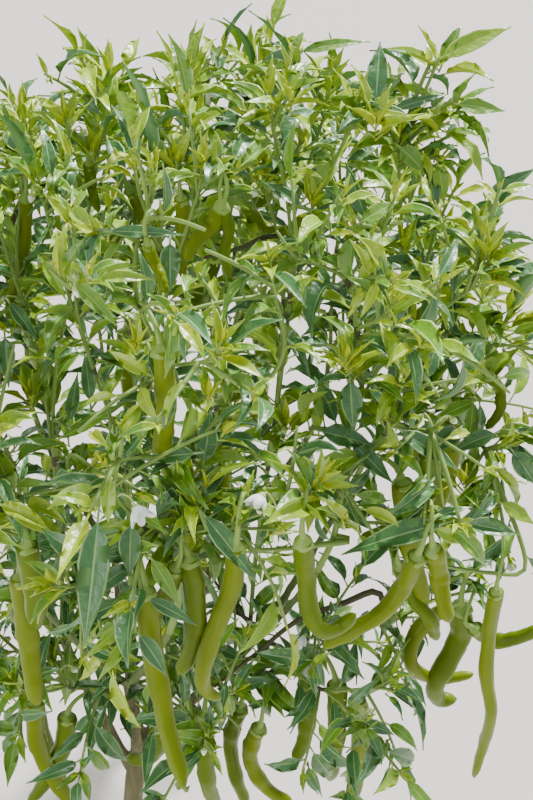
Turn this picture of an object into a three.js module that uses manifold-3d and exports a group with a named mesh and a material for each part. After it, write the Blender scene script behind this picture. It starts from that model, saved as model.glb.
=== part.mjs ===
// A fruiting chilli pepper plant, rooted in the ground: one woody main stem with a flared foot, five
// boughs that fork into ten limbs, and twenty masses of leafy, fruiting twigs, which make a flat-topped
// crown that leans to the right. Millimetres, +Z up, +X to the viewer's right, +Y away from the viewer.
// The origin is the middle of the flat cut at ground level. The limbs meet at seams 0.4 mm wide, so that
// each can be lifted out as its own solid.
import * as THREE from "three";
import { mergeVertices } from "three/addons/utils/BufferGeometryUtils.js";
import Module from "manifold-3d";

const wasm = await Module();
wasm.setup();

// Driving sizes, in millimetres and degrees
const mainStem = {
  forkHeight: 122, // the five boughs leave it at and below this height
  leanX: 13, // how far the fork stands to the right of the foot
  leanY: 5, // and behind it
  footRadius: 8.2,
  forkRadius: 6.6,
  flare: 6.5, // how much the foot widens where it enters the ground
  flareHeight: 11, // height over which the flare dies away
  ribs: 5, // root ridges that run down into the flare
  ribDepth: 0.24,
  bow: -2, // how far its middle stands to the left of the straight line
  rings: 9,
  footRing: 0.45, // corners below this share of the flare's height lie in the ground plane
};
const crown = {
  leanX: 46, // the crown's middle stands this far to the right of the foot
  leanY: 34, // and this far behind it
  leanHeight: 420, // height at which the lean is complete
  radius: 205, // from the crown's middle to its outermost shoot tips
};
// Shoot tips, laid out evenly in three storeys: the sunlit roof, the shaded shoots under it and, four for
// each low mass, the low side shoots
const roofTips = {
  count: 64, height: 572, rimDrop: 112, ragged: 30, nearest: 0, turn: 0.4, backDrop: 38, seed: 11,
};
const shadeTips = {
  count: 26, height: 436, rimDrop: 26, ragged: 22, nearest: 0.42, turn: 1.1, backDrop: 36, seed: 23,
};
const lowTips = { count: 4, height: 268, ragged: 22, spread: 50 };
// The five boughs leave the main stem one above another and turn round it. Each has a bearing, the place
// of its fork, and the place of the low mass that it carries.
const boughs = [
  { name: "right", bearing: -16, fork: { reach: 78, height: 232 }, low: { bearing: -34, reach: 156 } },
  { name: "back_left", bearing: 122, fork: { reach: 66, height: 240 }, low: { bearing: 148, reach: 132 } },
  { name: "front_left", bearing: 258, fork: { reach: 60, height: 226 }, low: { bearing: 226, reach: 108 } },
  { name: "back_right", bearing: 54, fork: { reach: 74, height: 246 }, low: { bearing: 84, reach: 130 } },
  { name: "left", bearing: 190, fork: { reach: 70, height: 236 }, low: { bearing: -70, reach: 100 } },
];
const boughRise = { topmost: 4, spacing: 10, bendAt: 0.5, sag: 14 }; // topmost: below the main stem's end
const limbFork = { halfAngle: 18, reach: 122, height: 326, bendAt: 0.45, sag: 8 }; // where limbs end
const limbTaper = { start: 1.12, end: 0.92 }; // shares of the radius that the limb's shoot tips call for
const limbRoot = 0.97; // share of the bough's length at which its limbs leave it
const massRoot = { top: 0.9, outer: 1, low: 0.62 }; // share of the limb's length at which a mass leaves it
const middles = {
  top: { reach: 58, height: 458 }, // the middle of each bough's upper mass
  outer: { halfAngle: 19, reach: 150, height: 452 }, // of its two outer masses
};
const twig = {
  tipRadius: 1.3, // of a twig that feeds one shoot tip
  thickening: 0.4, // a limb's radius grows with this power of the number of tips it feeds
  longInternode: 45, // a longer one is bent halfway
  reachShare: { few: 0.55, many: 0.42 }, // a fork stands this far along the way to the middle of its tips
  fewTips: 4,
  bendAt: 0.45, // an internode keeps its first heading over this share of its length
  cornerSwell: 1.15, // its three corners stand out this much, which gives it the girth of a round twig
};
const leafSizes = {
  node: { length: 100, width: 36, bend: 0.75, incline: 62 }, // the leaf below each fork
  tip: [
    { length: 88, width: 32, bend: 0.55, incline: 66 }, // the rosette round each shoot tip, oldest first
    { length: 74, width: 25, bend: 0.35, incline: 44 },
    { length: 54, width: 16, bend: 0.1, incline: 22 },
  ],
  belowFork: 5, // the node leaf leaves its stem this far below the fork
  tipSpacing: 4.5, // between two leaves of a rosette
  bareStretch: 62, // a longer stretch of stem gets a leaf about halfway
  bareShare: 0.44,
  petiole: 0.27, // share of the leaf's length
  petioleHalf: 1, // half its width where it meets the blade
  widest: 0.52, // share of the length at which the margins stand widest
  ridge: 0.42, // and at which the midrib is thickest
  least: 0.86, // leaves are this share of their length or more, and at most 0.28 longer than that
  spread: 0.28,
  thickness: 1.3,
  fold: 0.3, // how far the margins stand up, as a share of the half width
  apart: 10, // between the blades of one mass, so that few cross
};
const fruitSizes = {
  length: { least: 78, most: 122 },
  radius: 6.6,
  pedicel: 30,
  bend: 1.7, // radians that the most crooked fruit turns through
  rise: 1.9, // radians from straight down at which its stalk leaves the fork
  lean: 0.16, // and at which the fruit leaves its stalk
  swing: 2.4, // radians between the bearings that fruits may take
  lowest: 14, // no fruit hangs nearer the ground than this
  points: 14, // on its centreline
  stalkPoints: 3, // of them, those too near the fork to keep clear of other twigs
  rings: 5,
  stalkRadius: 1.3,
};
const fruitShare = { top: 0.25, outer: 0.62, low: 1 }; // share of the forks that carry a fruit
const seam = 0.4; // gap between one limb and the next
const clearance = 1.6; // between foliage and limbs
const turnStep = { fruit: 0.8, leaf: 0.7 }; // radians turned before a fruit or leaf is tried again
const attempts = { fruit: 8, leaf: 9 };
const fuseShifts = [0, 0.06, -0.06]; // a piece that spoils the skin is fused on again a little to one side
const cellMargin = 0.6; // between a mass and the edge of its space
const grid = 0.001; // every corner of a fused solid lies on this grid
const sidesOf = { mainStem: 15, bough: 6, limb: 5, twig: 3, fruit: 4 };
const ringsOf = { bough: 5, limb: 4 };

const up = new THREE.Vector3(0, 0, 1);
const goldenAngle = Math.PI * (3 - Math.sqrt(5));
const radians = THREE.MathUtils.degToRad;

// The same seed always gives the same run of numbers between 0 and 1.
function seededRandom(seed) {
  let state = seed;
  return () => {
    state = (state * 48271) % 2147483647;
    return state / 2147483647;
  };
}

// A point given by its bearing about the leaning crown's middle, its distance from it and its height
function crownPoint(bearing, reach, height) {
  const lean = Math.min(1, height / crown.leanHeight);
  return new THREE.Vector3(
    crown.leanX * lean + reach * Math.cos(bearing),
    crown.leanY * lean + reach * Math.sin(bearing),
    height,
  );
}

// Radius of a limb that feeds this many shoot tips
function pipeRadius(tips) {
  return twig.tipRadius * tips ** twig.thickening;
}

// One storey of shoot tips: a sunflower spiral over the crown, ragged in height, lower at the rim and back
function storeyOfTips(storey) {
  const random = seededRandom(storey.seed);
  const tips = [];
  for (let i = 0; i < storey.count; i++) {
    const share = Math.sqrt(THREE.MathUtils.lerp(storey.nearest, 1, (i + 0.5) / storey.count));
    const bearing = i * goldenAngle + storey.turn;
    const drop = storey.rimDrop * share ** 4 + storey.backDrop * share * Math.sin(bearing);
    const height = storey.height - drop + storey.ragged * (2 * random() - 1);
    tips.push(crownPoint(bearing, crown.radius * share, height));
  }
  return tips;
}

// The tips of one low mass, on a small spiral of their own
function lowShootTips(middle, seed) {
  const random = seededRandom(seed);
  const tips = [];
  for (let i = 0; i < lowTips.count; i++) {
    const reach = lowTips.spread * Math.sqrt((i + 0.5) / lowTips.count);
    tips.push(new THREE.Vector3(
      middle.x + reach * Math.cos(i * goldenAngle),
      middle.y + reach * Math.sin(i * goldenAngle),
      middle.z + lowTips.ragged * (2 * random() - 1),
    ));
  }
  return tips;
}

// Every mass of foliage, with its middle, its limb and the bough that both belong to
function planMasses() {
  const masses = [];
  for (const bough of boughs) {
    const bearing = radians(bough.bearing);
    const { top, outer } = middles;
    const addMass = (kind, ending, limb, middle) =>
      masses.push({ name: `${bough.name}_${ending}`, kind, limb, middle });
    addMass("top", "top", `bough_${bough.name}`, crownPoint(bearing, top.reach, top.height));
    for (const [side, sign] of [["a", -1], ["b", 1]]) {
      const turned = bearing + sign * radians(outer.halfAngle);
      const middle = crownPoint(turned, outer.reach, outer.height);
      addMass("outer", `outer_${side}`, `limb_${bough.name}_${side}`, middle);
    }
    const low = crownPoint(radians(bough.low.bearing), bough.low.reach, lowTips.height);
    addMass("low", "low", `bough_${bough.name}`, low);
  }
  return masses;
}

function nearestMass(point, masses) {
  let best = masses[0];
  for (const mass of masses)
    if (point.distanceToSquared(mass.middle) < point.distanceToSquared(best.middle)) best = mass;
  return best;
}

// Gives each mass its shoot tips and its own seeded numbers.
function shareOutTips(masses) {
  masses.forEach((mass, i) => {
    mass.seed = 1000 + 77 * i;
    mass.tips = mass.kind === "low" ? lowShootTips(mass.middle, mass.seed) : [];
  });
  for (const tip of [...storeyOfTips(roofTips), ...storeyOfTips(shadeTips)])
    nearestMass(tip, masses).tips.push(tip);
}

// The main stem, the boughs and the limbs, each with its curve and its two radii
function planLimbs(masses) {
  const tipsOf = (name) => masses.find((mass) => mass.name === name).tips.length;
  const foot = new THREE.Vector3(0, 0, 0);
  const fork = new THREE.Vector3(mainStem.leanX, mainStem.leanY, mainStem.forkHeight);
  const stemBend = new THREE.Vector3(mainStem.bow, 0, mainStem.forkHeight / 2);
  const stemCurve = new THREE.QuadraticBezierCurve3(foot, stemBend, fork);
  const limbs = [];
  const addLimb = (name, kind, curve, startRadius, endRadius) =>
    limbs.push({ name, kind, curve, startRadius, endRadius });
  addLimb("main_stem", "mainStem", stemCurve, mainStem.footRadius, mainStem.forkRadius);
  boughs.forEach((bough, i) => {
    const { name } = bough;
    const bearing = radians(bough.bearing);
    const along = 1 - (i * boughRise.spacing + boughRise.topmost) / mainStem.forkHeight;
    const end = crownPoint(bearing, bough.fork.reach, bough.fork.height);
    const onward = tipsOf(`${name}_outer_a`) + tipsOf(`${name}_outer_b`);
    const fed = onward + tipsOf(`${name}_top`) + tipsOf(`${name}_low`);
    const curve = risingCurve(stemCurve.getPointAt(along), end, boughRise);
    addLimb(`bough_${name}`, "bough", curve, pipeRadius(fed), pipeRadius(onward));
    for (const [side, sign] of [["a", -1], ["b", 1]]) {
      const turned = bearing + sign * radians(limbFork.halfAngle);
      const limbEnd = crownPoint(turned, limbFork.reach, limbFork.height);
      const radius = pipeRadius(tipsOf(`${name}_outer_${side}`));
      addLimb(`limb_${name}_${side}`, "limb", risingCurve(curve.getPointAt(limbRoot), limbEnd, limbFork),
        radius * limbTaper.start, radius * limbTaper.end);
    }
  });
  return limbs;
}

// A curve that leaves its start low and turns upwards, its bend `sag` below the straight line
function risingCurve(start, end, { bendAt, sag }) {
  const bend = start.clone().lerp(end, bendAt).addScaledVector(up, -sag);
  return new THREE.QuadraticBezierCurve3(start.clone(), bend, end.clone());
}

// Growth of one mass: stems that head for the shoot tips. At each fork the larger share of the tips stays
// with the stem and the rest go to a side stem. A stem keeps its points, its forks and its two radii.
function growStems(mass, limb, keepsClear) {
  const start = limb.curve.getPointAt(massRoot[mass.kind]);
  const towardsMiddle = mass.middle.clone().sub(start).normalize();
  const heading = mass.kind === "outer" ? limb.curve.getTangentAt(1) : towardsMiddle;
  const stems = [];

  function extend(stem, direction, tips) {
    const from = stem.points.at(-1);
    const middle = tips.reduce((sum, tip) => sum.add(tip), new THREE.Vector3()).divideScalar(tips.length);
    const reach = middle.clone().sub(from);
    const forkShare = tips.length < twig.fewTips ? twig.reachShare.few : twig.reachShare.many;
    const share = tips.length === 1 ? 1 : forkShare;
    const bend = from.clone().addScaledVector(direction, reach.length() * share * twig.bendAt);
    const end = from.clone().addScaledVector(reach, share);
    const internode = new THREE.QuadraticBezierCurve3(from, bend, end);
    const room = pipeRadius(tips.length) + clearance * 0.5;
    const isFirst = stems.length === 1 && stem.points.length === 1;
    if (!isFirst && !keepsClear(internode.getPoints(8).slice(2), room)) return;
    if (internode.getLength() > twig.longInternode) stem.points.push(internode.getPoint(0.5));
    stem.points.push(internode.getPoint(1));
    const onward = internode.getTangentAt(1);
    if (tips.length === 1) return;
    const [most, rest] = divideTips(tips);
    stem.forks.push({ point: stem.points.at(-1), direction: onward });
    const side = { points: [stem.points.at(-1)], forks: [], startRadius: pipeRadius(rest.length) };
    stems.push(side);
    extend(stem, onward, most);
    extend(side, onward, rest);
  }

  const main = { points: [start], forks: [], startRadius: pipeRadius(mass.tips.length) };
  stems.push(main);
  extend(main, heading, mass.tips);
  const grown = stems.filter((stem) => stem.points.length > 1);
  return grown.map((stem) => ({
    ...stem,
    endRadius: twig.tipRadius,
    curve: new THREE.CatmullRomCurve3(stem.points),
  }));
}

// Hangs fruit from the forks, each turned about its fork until it hangs free.
function hangFruits(mass, keepsClear) {
  const random = seededRandom(mass.seed + 31);
  const fruits = [];
  for (const fork of mass.stems.flatMap((stem) => stem.forks)) {
    const outward = Math.atan2(fork.point.y - crown.leanY, fork.point.x - crown.leanX);
    const length = THREE.MathUtils.lerp(fruitSizes.length.least, fruitSizes.length.most, random());
    const bend = fruitSizes.bend * (2 * random() - 1);
    const swing = random() - 0.5;
    if (random() > fruitShare[mass.kind]) continue;
    for (let attempt = 0; attempt < attempts.fruit; attempt++) {
      const bearing = outward + swing * fruitSizes.swing + attempt * turnStep.fruit;
      const fruit = { root: fork.point, bearing, length, bend, twist: swing };
      const line = fruitLine(fruit);
      if (line.some((point) => point.z < fruitSizes.lowest)) continue;
      if (!keepsClear(line.slice(fruitSizes.stalkPoints), fruitSizes.radius + clearance)) continue;
      fruits.push(fruit);
      break;
    }
  }
  return fruits;
}

// Sets a leaf under each fork, one halfway along each long bare stretch and a rosette round each shoot
// tip, each turned about its stem until it has room.
function setLeaves(mass, keepsClear) {
  const random = seededRandom(mass.seed + 5);
  const leaves = [];
  const leafRoom = [];
  let leafTurn = random() * Math.PI * 2;

  function addLeaf(point, direction, size) {
    const length = size.length * (leafSizes.least + leafSizes.spread * random());
    const incline = radians(size.incline) * (0.85 + 0.3 * random());
    leafTurn += goldenAngle;
    for (let attempt = 0; attempt < attempts.leaf; attempt++) {
      const turn = leafTurn + attempt * turnStep.leaf;
      const leaf = leafAt(point, direction, turn, incline, size, length);
      const samples = leafSamples(leaf);
      const outer = samples.slice(3);
      if (!keepsClear(samples, clearance) || !clearOf(leafRoom, outer, 0)) continue;
      leaves.push(leaf);
      leafRoom.push(...outer.map((sample) => ({ point: sample, radius: leafSizes.apart })));
      return;
    }
  }

  for (const stem of mass.stems) {
    const length = stem.curve.getLength();
    for (const fork of stem.forks) {
      const below = fork.point.clone().addScaledVector(fork.direction, -leafSizes.belowFork);
      addLeaf(below, fork.direction, leafSizes.node);
    }
    const addLeafAt = (along, size) =>
      addLeaf(stem.curve.getPointAt(along), stem.curve.getTangentAt(along), size);
    const lastFork = stem.forks.at(-1);
    const bare = lastFork ? lastFork.point.distanceTo(stem.points.at(-1)) : length;
    if (bare > leafSizes.bareStretch) addLeafAt(1 - (bare * leafSizes.bareShare) / length, leafSizes.node);
    leafSizes.tip.forEach((size, i) => {
      const fromTip = (leafSizes.tip.length - 1 - i) * leafSizes.tipSpacing;
      addLeafAt(1 - fromTip / length, size);
    });
  }
  return leaves;
}

// Splits shoot tips between the two that stand furthest apart, the larger share first.
function divideTips(tips) {
  let pair = [tips[0], tips[1]];
  for (const a of tips)
    for (const b of tips) if (a.distanceTo(b) > pair[0].distanceTo(pair[1])) pair = [a, b];
  const near = tips.filter((tip) => tip.distanceTo(pair[0]) <= tip.distanceTo(pair[1]));
  const far = tips.filter((tip) => !near.includes(tip));
  return near.length >= far.length ? [near, far] : [far, near];
}

// A leaf that leaves a twig at this turn about it, its upper side towards the sky and the twig's tip
function leafAt(root, direction, turn, incline, size, length) {
  const reference = Math.abs(direction.z) < 0.9 ? up : new THREE.Vector3(1, 0, 0);
  const side = new THREE.Vector3().crossVectors(direction, reference).normalize();
  side.applyAxisAngle(direction, turn);
  const aim = direction.clone().multiplyScalar(Math.cos(incline));
  aim.addScaledVector(side, Math.sin(incline)).normalize();
  const normal = direction.clone().multiplyScalar(0.5).addScaledVector(up, 0.6);
  normal.addScaledVector(aim, -normal.dot(aim)).normalize();
  const across = new THREE.Vector3().crossVectors(aim, normal);
  return { root, aim, normal, across, length, width: size.width * (length / size.length), bend: size.bend };
}

// A point of a leaf: `along` from root to tip, `across` from the midrib, `lift` above the upper side
function leafPoint(leaf, along, across, lift) {
  const angle = leaf.bend * along;
  const forward = (leaf.length * Math.sin(angle)) / leaf.bend;
  const down = (leaf.length * (1 - Math.cos(angle))) / leaf.bend;
  return leaf.root.clone()
    .addScaledVector(leaf.aim, forward + lift * Math.sin(angle))
    .addScaledVector(leaf.normal, lift * Math.cos(angle) - down)
    .addScaledVector(leaf.across, across);
}

function leafSamples(leaf) {
  const samples = [];
  for (const along of [0.3, 0.45, 0.6, 0.8, 1]) {
    const half = along < 1 ? (leaf.width / 2) * Math.min(1, 2.2 * (1 - along)) : 0;
    for (const across of [-half, 0, half])
      samples.push(leafPoint(leaf, along, across, Math.abs(across) * leafSizes.fold));
  }
  return samples;
}

// The centreline of a fruit: its stalk arches out of the fork and down, and the fruit goes on in its crook.
function fruitLine(fruit) {
  const steps = fruitSizes.points;
  const whole = fruitSizes.pedicel + fruit.length;
  const stalkShare = fruitSizes.pedicel / whole;
  const points = [fruit.root.clone()];
  for (let i = 0; i < steps; i++) {
    const share = (i + 0.5) / steps;
    const body = Math.max(0, (share - stalkShare) / (1 - stalkShare));
    const stalk = Math.min(1, share / stalkShare);
    const angle = THREE.MathUtils.lerp(fruitSizes.rise, fruitSizes.lean, stalk) + fruit.bend * body ** 1.4;
    const bearing = fruit.bearing + fruit.twist * body;
    points.push(points[i].clone().add(new THREE.Vector3(
      Math.sin(angle) * Math.cos(bearing),
      Math.sin(angle) * Math.sin(bearing),
      -Math.cos(angle),
    ).multiplyScalar(whole / steps)));
  }
  return points;
}

// A polygon of this many sides, pulled out to length 1 and bent along the curve, square to it and tapering
function taperingLimb(curve, steps, sides, radiusAt, swell = 0) {
  const corners = [];
  for (let i = 0; i < sides; i++) {
    const angle = (i / sides) * Math.PI * 2;
    corners.push(new THREE.Vector2(Math.cos(angle), Math.sin(angle)));
  }
  const section = new THREE.Shape(corners);
  const geometry = new THREE.ExtrudeGeometry(section, { depth: 1, steps, bevelEnabled: false });
  const frames = curve.computeFrenetFrames(steps);
  const position = geometry.getAttribute("position");
  for (let i = 0; i < position.count; i++) {
    const ring = Math.round(position.getZ(i) * steps);
    const angle = Math.atan2(position.getY(i), position.getX(i));
    const radius = radiusAt(ring / steps, angle) + swell;
    const endSwell = ring === steps ? swell : 0;
    const point = curve.getPoint(ring / steps)
      .addScaledVector(frames.normals[ring], radius * Math.cos(angle))
      .addScaledVector(frames.binormals[ring], radius * Math.sin(angle))
      .addScaledVector(frames.tangents[ring], endSwell);
    position.setXYZ(i, point.x, point.y, point.z);
  }
  return geometry;
}

function evenTaper(startRadius, endRadius) {
  return (along) => THREE.MathUtils.lerp(startRadius, endRadius, along);
}

// The main stem, with root ridges that widen its foot and a flat cut at ground level
function mainStemGeometry(limb, swell) {
  const taper = evenTaper(limb.startRadius, limb.endRadius);
  const radiusAt = (along, angle) => {
    const fade = Math.exp((-along * mainStem.forkHeight) / mainStem.flareHeight);
    const ribs = 1 + mainStem.ribDepth * fade * Math.cos(mainStem.ribs * angle);
    return (taper(along) + mainStem.flare * fade) * ribs;
  };
  const geometry = taperingLimb(limb.curve, mainStem.rings, sidesOf.mainStem, radiusAt, swell);
  const position = geometry.getAttribute("position");
  for (let i = 0; i < position.count; i++)
    if (position.getZ(i) < mainStem.flareHeight * mainStem.footRing) position.setZ(i, 0);
  return geometry;
}

function limbGeometry(limb, swell = 0) {
  if (limb.kind === "mainStem") return mainStemGeometry(limb, swell);
  const taper = evenTaper(limb.startRadius, limb.endRadius);
  return taperingLimb(limb.curve, ringsOf[limb.kind], sidesOf[limb.kind], taper, swell);
}

function stemGeometry(stem) {
  const taper = evenTaper(stem.startRadius * twig.cornerSwell, stem.endRadius * twig.cornerSwell);
  return taperingLimb(stem.curve, stem.points.length - 1, sidesOf.twig, taper);
}

// A leaf is a flattened ball of twelve faces: its root, the two sides of its petiole's end, its two widest
// points and its tip, round a midrib.
function leafGeometry(leaf) {
  const half = leaf.width / 2;
  const raised = half * leafSizes.fold;
  const outline = [
    leafPoint(leaf, 1, 0, 0),
    leafPoint(leaf, leafSizes.widest, half, raised),
    leafPoint(leaf, leafSizes.petiole, leafSizes.petioleHalf, 0),
    leaf.root,
    leafPoint(leaf, leafSizes.petiole, -leafSizes.petioleHalf, 0),
    leafPoint(leaf, leafSizes.widest, -half, raised),
  ];
  const midrib = (lift) => leafPoint(leaf, leafSizes.ridge, 0, lift);
  const geometry = new THREE.SphereGeometry(1, 6, 2);
  const position = geometry.getAttribute("position");
  for (let i = 0; i < position.count; i++) {
    const [x, y, z] = [position.getX(i), position.getY(i), position.getZ(i)];
    const corner = (Math.round(Math.atan2(z, x) / (Math.PI / 3)) + 6) % 6;
    const point = Math.abs(y) > 0.5 ? midrib((y * leafSizes.thickness) / 2) : outline[corner];
    position.setXYZ(i, point.x, point.y, point.z);
  }
  return geometry;
}

function fruitGeometry(fruit) {
  const curve = new THREE.CatmullRomCurve3(fruitLine(fruit));
  const stalkShare = fruitSizes.pedicel / (fruitSizes.pedicel + fruit.length);
  const radiusAt = (along) => {
    const body = (along - stalkShare) / (1 - stalkShare);
    if (body < 0) return fruitSizes.stalkRadius;
    return Math.max(1, fruitSizes.radius * Math.min(1, 0.72 + body) * (1 - body ** 2.6));
  };
  return taperingLimb(curve, fruitSizes.rings, sidesOf.fruit, radiusAt);
}

// Corners are moved to a fine grid, so that those that nearly coincide are one.
function snapToGrid(geometry) {
  const position = geometry.getAttribute("position");
  for (let i = 0; i < position.array.length; i++)
    position.array[i] = Math.round(position.array[i] / grid) * grid;
  const bare = new THREE.BufferGeometry().setAttribute("position", position).setIndex(geometry.getIndex());
  return mergeVertices(bare, grid / 10);
}

function solidOf(geometry) {
  const merged = snapToGrid(geometry);
  return new wasm.Manifold(new wasm.Mesh({
    numProp: 3,
    vertProperties: merged.getAttribute("position").array,
    triVerts: new Uint32Array(merged.getIndex().array),
  }));
}

function geometryOf(solid) {
  const mesh = solid.getMesh();
  const geometry = new THREE.BufferGeometry();
  geometry.setAttribute("position", new THREE.BufferAttribute(mesh.vertProperties, 3));
  geometry.setIndex(new THREE.BufferAttribute(mesh.triVerts, 1));
  geometry.computeVertexNormals();
  return geometry;
}

// Trimming can leave loose scraps and joining can seal a hollow, so only the largest outer skin is kept.
function largestBody(solid) {
  const bodies = solidOf(geometryOf(solid)).decompose();
  return bodies.reduce((best, body) => (body.volume() > best.volume() ? body : best));
}

// Whether each edge of the skin belongs to two faces only
function facesMeetInPairs(solid) {
  const corners = snapToGrid(geometryOf(solid)).getIndex().array;
  const edges = new Set();
  for (let i = 0; i < corners.length; i++) {
    const next = i % 3 === 2 ? i - 2 : i + 1;
    if (corners[i] !== corners[next]) edges.add(`${corners[i]} ${corners[next]}`);
    else return false;
  }
  return edges.size === corners.length;
}

// Fuses pieces on one after another. One that wouldn't give a cleanly closed skin is shifted a little, or
// left out.
function fuseOn(core, pieces) {
  return pieces.reduce((fused, piece) => {
    for (const shift of fuseShifts) {
      const next = largestBody(fused.add(piece.translate([shift, shift, shift])));
      if (facesMeetInPairs(next)) return next;
    }
    return fused;
  }, largestBody(core));
}

// Samples along every limb, for keeping foliage clear of them
function limbSamples(limbs) {
  return limbs.flatMap((limb) => {
    const count = Math.ceil(limb.curve.getLength() / 5);
    return limb.curve.getSpacedPoints(count).map((point, i) => ({
      point,
      radius: THREE.MathUtils.lerp(limb.startRadius, limb.endRadius, i / count),
    }));
  });
}

// Whether points lie in a mass's own space, nearer its middle than any other
function inOwnSpace(mass, masses, points) {
  return points.every((point) => {
    const own = point.distanceToSquared(mass.middle);
    return masses.every((other) => {
      const margin = 2 * mass.middle.distanceTo(other.middle) * cellMargin;
      return other === mass || point.distanceToSquared(other.middle) - own > margin;
    });
  });
}

function clearOf(samples, points, gap) {
  return points.every((point) =>
    samples.every((sample) => point.distanceTo(sample.point) > sample.radius + gap));
}

function stemSamples(stem) {
  const count = Math.ceil(stem.curve.getLength() / 7);
  return stem.curve.getSpacedPoints(count).map((point) => ({ point, radius: stem.startRadius }));
}

function fruitSamples(fruit) {
  const line = fruitLine(fruit).slice(fruitSizes.stalkPoints);
  return line.map((point) => ({ point, radius: fruitSizes.radius }));
}

// Grows all the foliage: first every mass's stems, then the fruit, which hang where they find room, and
// then the leaves.
function growFoliage(masses, limbs) {
  const limbRoom = limbSamples(limbs);
  for (const mass of masses) {
    const limb = limbs.find((candidate) => candidate.name === mass.limb);
    mass.stems = growStems(mass, limb, (points, gap) =>
      inOwnSpace(mass, masses, points) && clearOf(limbRoom, points, gap));
  }
  const fruitRoom = [];
  const stemRoom = masses.flatMap((mass) => mass.stems.flatMap(stemSamples));
  for (const mass of masses) {
    const taken = [...limbRoom, ...stemRoom, ...fruitRoom];
    mass.fruits = hangFruits(mass, (points, gap) => clearOf(taken, points, gap));
    fruitRoom.push(...mass.fruits.flatMap(fruitSamples));
  }
  for (const mass of masses)
    mass.leaves = setLeaves(mass, (points, gap) =>
      inOwnSpace(mass, masses, points) && clearOf([...limbRoom, ...fruitRoom], points, gap));
}

const barkMaterial = new THREE.MeshStandardMaterial({ color: 0x7d7550, roughness: 0.8, metalness: 0 });
const greenStemMaterial = new THREE.MeshStandardMaterial({ color: 0x66803a, roughness: 0.6, metalness: 0 });
const foliageMaterial = new THREE.MeshStandardMaterial({ color: 0x5a8a22, roughness: 0.42, metalness: 0 });

function buildPlant() {
  const plant = new THREE.Group();
  const addNode = (name, solid, material) => {
    const mesh = new THREE.Mesh(geometryOf(solid), material);
    mesh.name = name;
    plant.add(mesh);
  };
  const masses = planMasses();
  shareOutTips(masses);
  const limbs = planLimbs(masses);
  let swollen = null; // every limb made so far, one seam thicker than it is
  for (const limb of limbs) {
    const whole = solidOf(limbGeometry(limb));
    const fitted = swollen ? largestBody(whole.subtract(swollen)) : whole;
    addNode(limb.name, fitted, limb.kind === "limb" ? greenStemMaterial : barkMaterial);
    const thick = solidOf(limbGeometry(limb, seam));
    swollen = swollen ? swollen.add(thick) : thick;
  }
  growFoliage(masses, limbs);
  for (const mass of masses) {
    const stems = mass.stems.map((stem) => solidOf(stemGeometry(stem)));
    mass.made = wasm.Manifold.union(stems).subtract(swollen);
  }
  for (const mass of masses) {
    const others = masses.filter((other) => other !== mass).map((other) => other.made);
    const foreign = wasm.Manifold.union([swollen, ...others]);
    const shapes = [...mass.fruits.map(fruitGeometry), ...mass.leaves.map(leafGeometry)];
    const pieces = shapes.map((shape) => solidOf(shape));
    const free = pieces.filter((piece) => piece.intersect(foreign).isEmpty());
    mass.made = fuseOn(mass.made, free);
    addNode(`foliage_${mass.name}`, mass.made, foliageMaterial);
  }
  return plant;
}

export default buildPlant();
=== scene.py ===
# Chilli pepper plant: ridged woody stem, green limbs, leafy sprays, hanging pods and small white flowers
import math
from types import SimpleNamespace as Item

import bpy
import numpy as np
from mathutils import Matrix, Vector, noise
from numpy.linalg import norm


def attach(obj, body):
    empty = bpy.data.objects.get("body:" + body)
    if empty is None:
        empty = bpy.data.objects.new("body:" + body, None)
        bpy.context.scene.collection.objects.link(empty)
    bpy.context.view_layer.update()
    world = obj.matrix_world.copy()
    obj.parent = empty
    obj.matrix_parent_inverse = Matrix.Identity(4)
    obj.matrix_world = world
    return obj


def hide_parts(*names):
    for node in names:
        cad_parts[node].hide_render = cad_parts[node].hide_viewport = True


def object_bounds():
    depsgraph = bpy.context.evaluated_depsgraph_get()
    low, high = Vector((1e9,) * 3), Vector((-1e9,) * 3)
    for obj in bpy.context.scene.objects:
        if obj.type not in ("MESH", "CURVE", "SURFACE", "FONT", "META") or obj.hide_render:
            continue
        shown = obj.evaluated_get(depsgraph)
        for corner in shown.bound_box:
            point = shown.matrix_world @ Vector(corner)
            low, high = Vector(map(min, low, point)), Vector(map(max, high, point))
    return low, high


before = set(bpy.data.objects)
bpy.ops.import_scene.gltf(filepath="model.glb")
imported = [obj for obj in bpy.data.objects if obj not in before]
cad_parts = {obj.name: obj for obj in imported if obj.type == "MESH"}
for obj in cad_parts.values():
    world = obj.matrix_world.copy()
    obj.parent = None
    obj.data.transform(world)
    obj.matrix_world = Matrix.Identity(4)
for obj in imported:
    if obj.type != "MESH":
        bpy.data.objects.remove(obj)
cadBox = [[float(value) for value in corner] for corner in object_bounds()]
mm = 0.001
goldenAngle = math.pi * (3 - math.sqrt(5))
skyward = np.array([0.0, 0.0, 1.0])
print("frame loaded:", len(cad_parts), "nodes")


# Camera and light

camera = {"place": (0.105, -0.600, 0.830), "pitch": 34.0, "lens": 54.0}
light = {"sunPower": 8.8, "sunSize": 6.0, "sunTilt": (-30, 26, 0), "sky": (0.84, 0.91, 1.0), "skyPower": 0.75,
         "fillPower": 13.0, "fillSize": 1.2, "fillPlace": (-0.9, -1.1, 0.7), "fillTilt": (70, 0, -40)}
floorLook = {"size": 8.0, "colour": (0.62, 0.57, 0.52), "roughness": 0.85}


def radians(angles):
    return [math.radians(angle) for angle in angles]


def setCamera():
    bpy.ops.object.camera_add(location=camera["place"], rotation=radians((90 - camera["pitch"], 0, 0)))
    eye = bpy.context.object
    eye.data.lens = camera["lens"]
    eye.data.clip_start = 0.02
    bpy.context.scene.camera = eye


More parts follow.
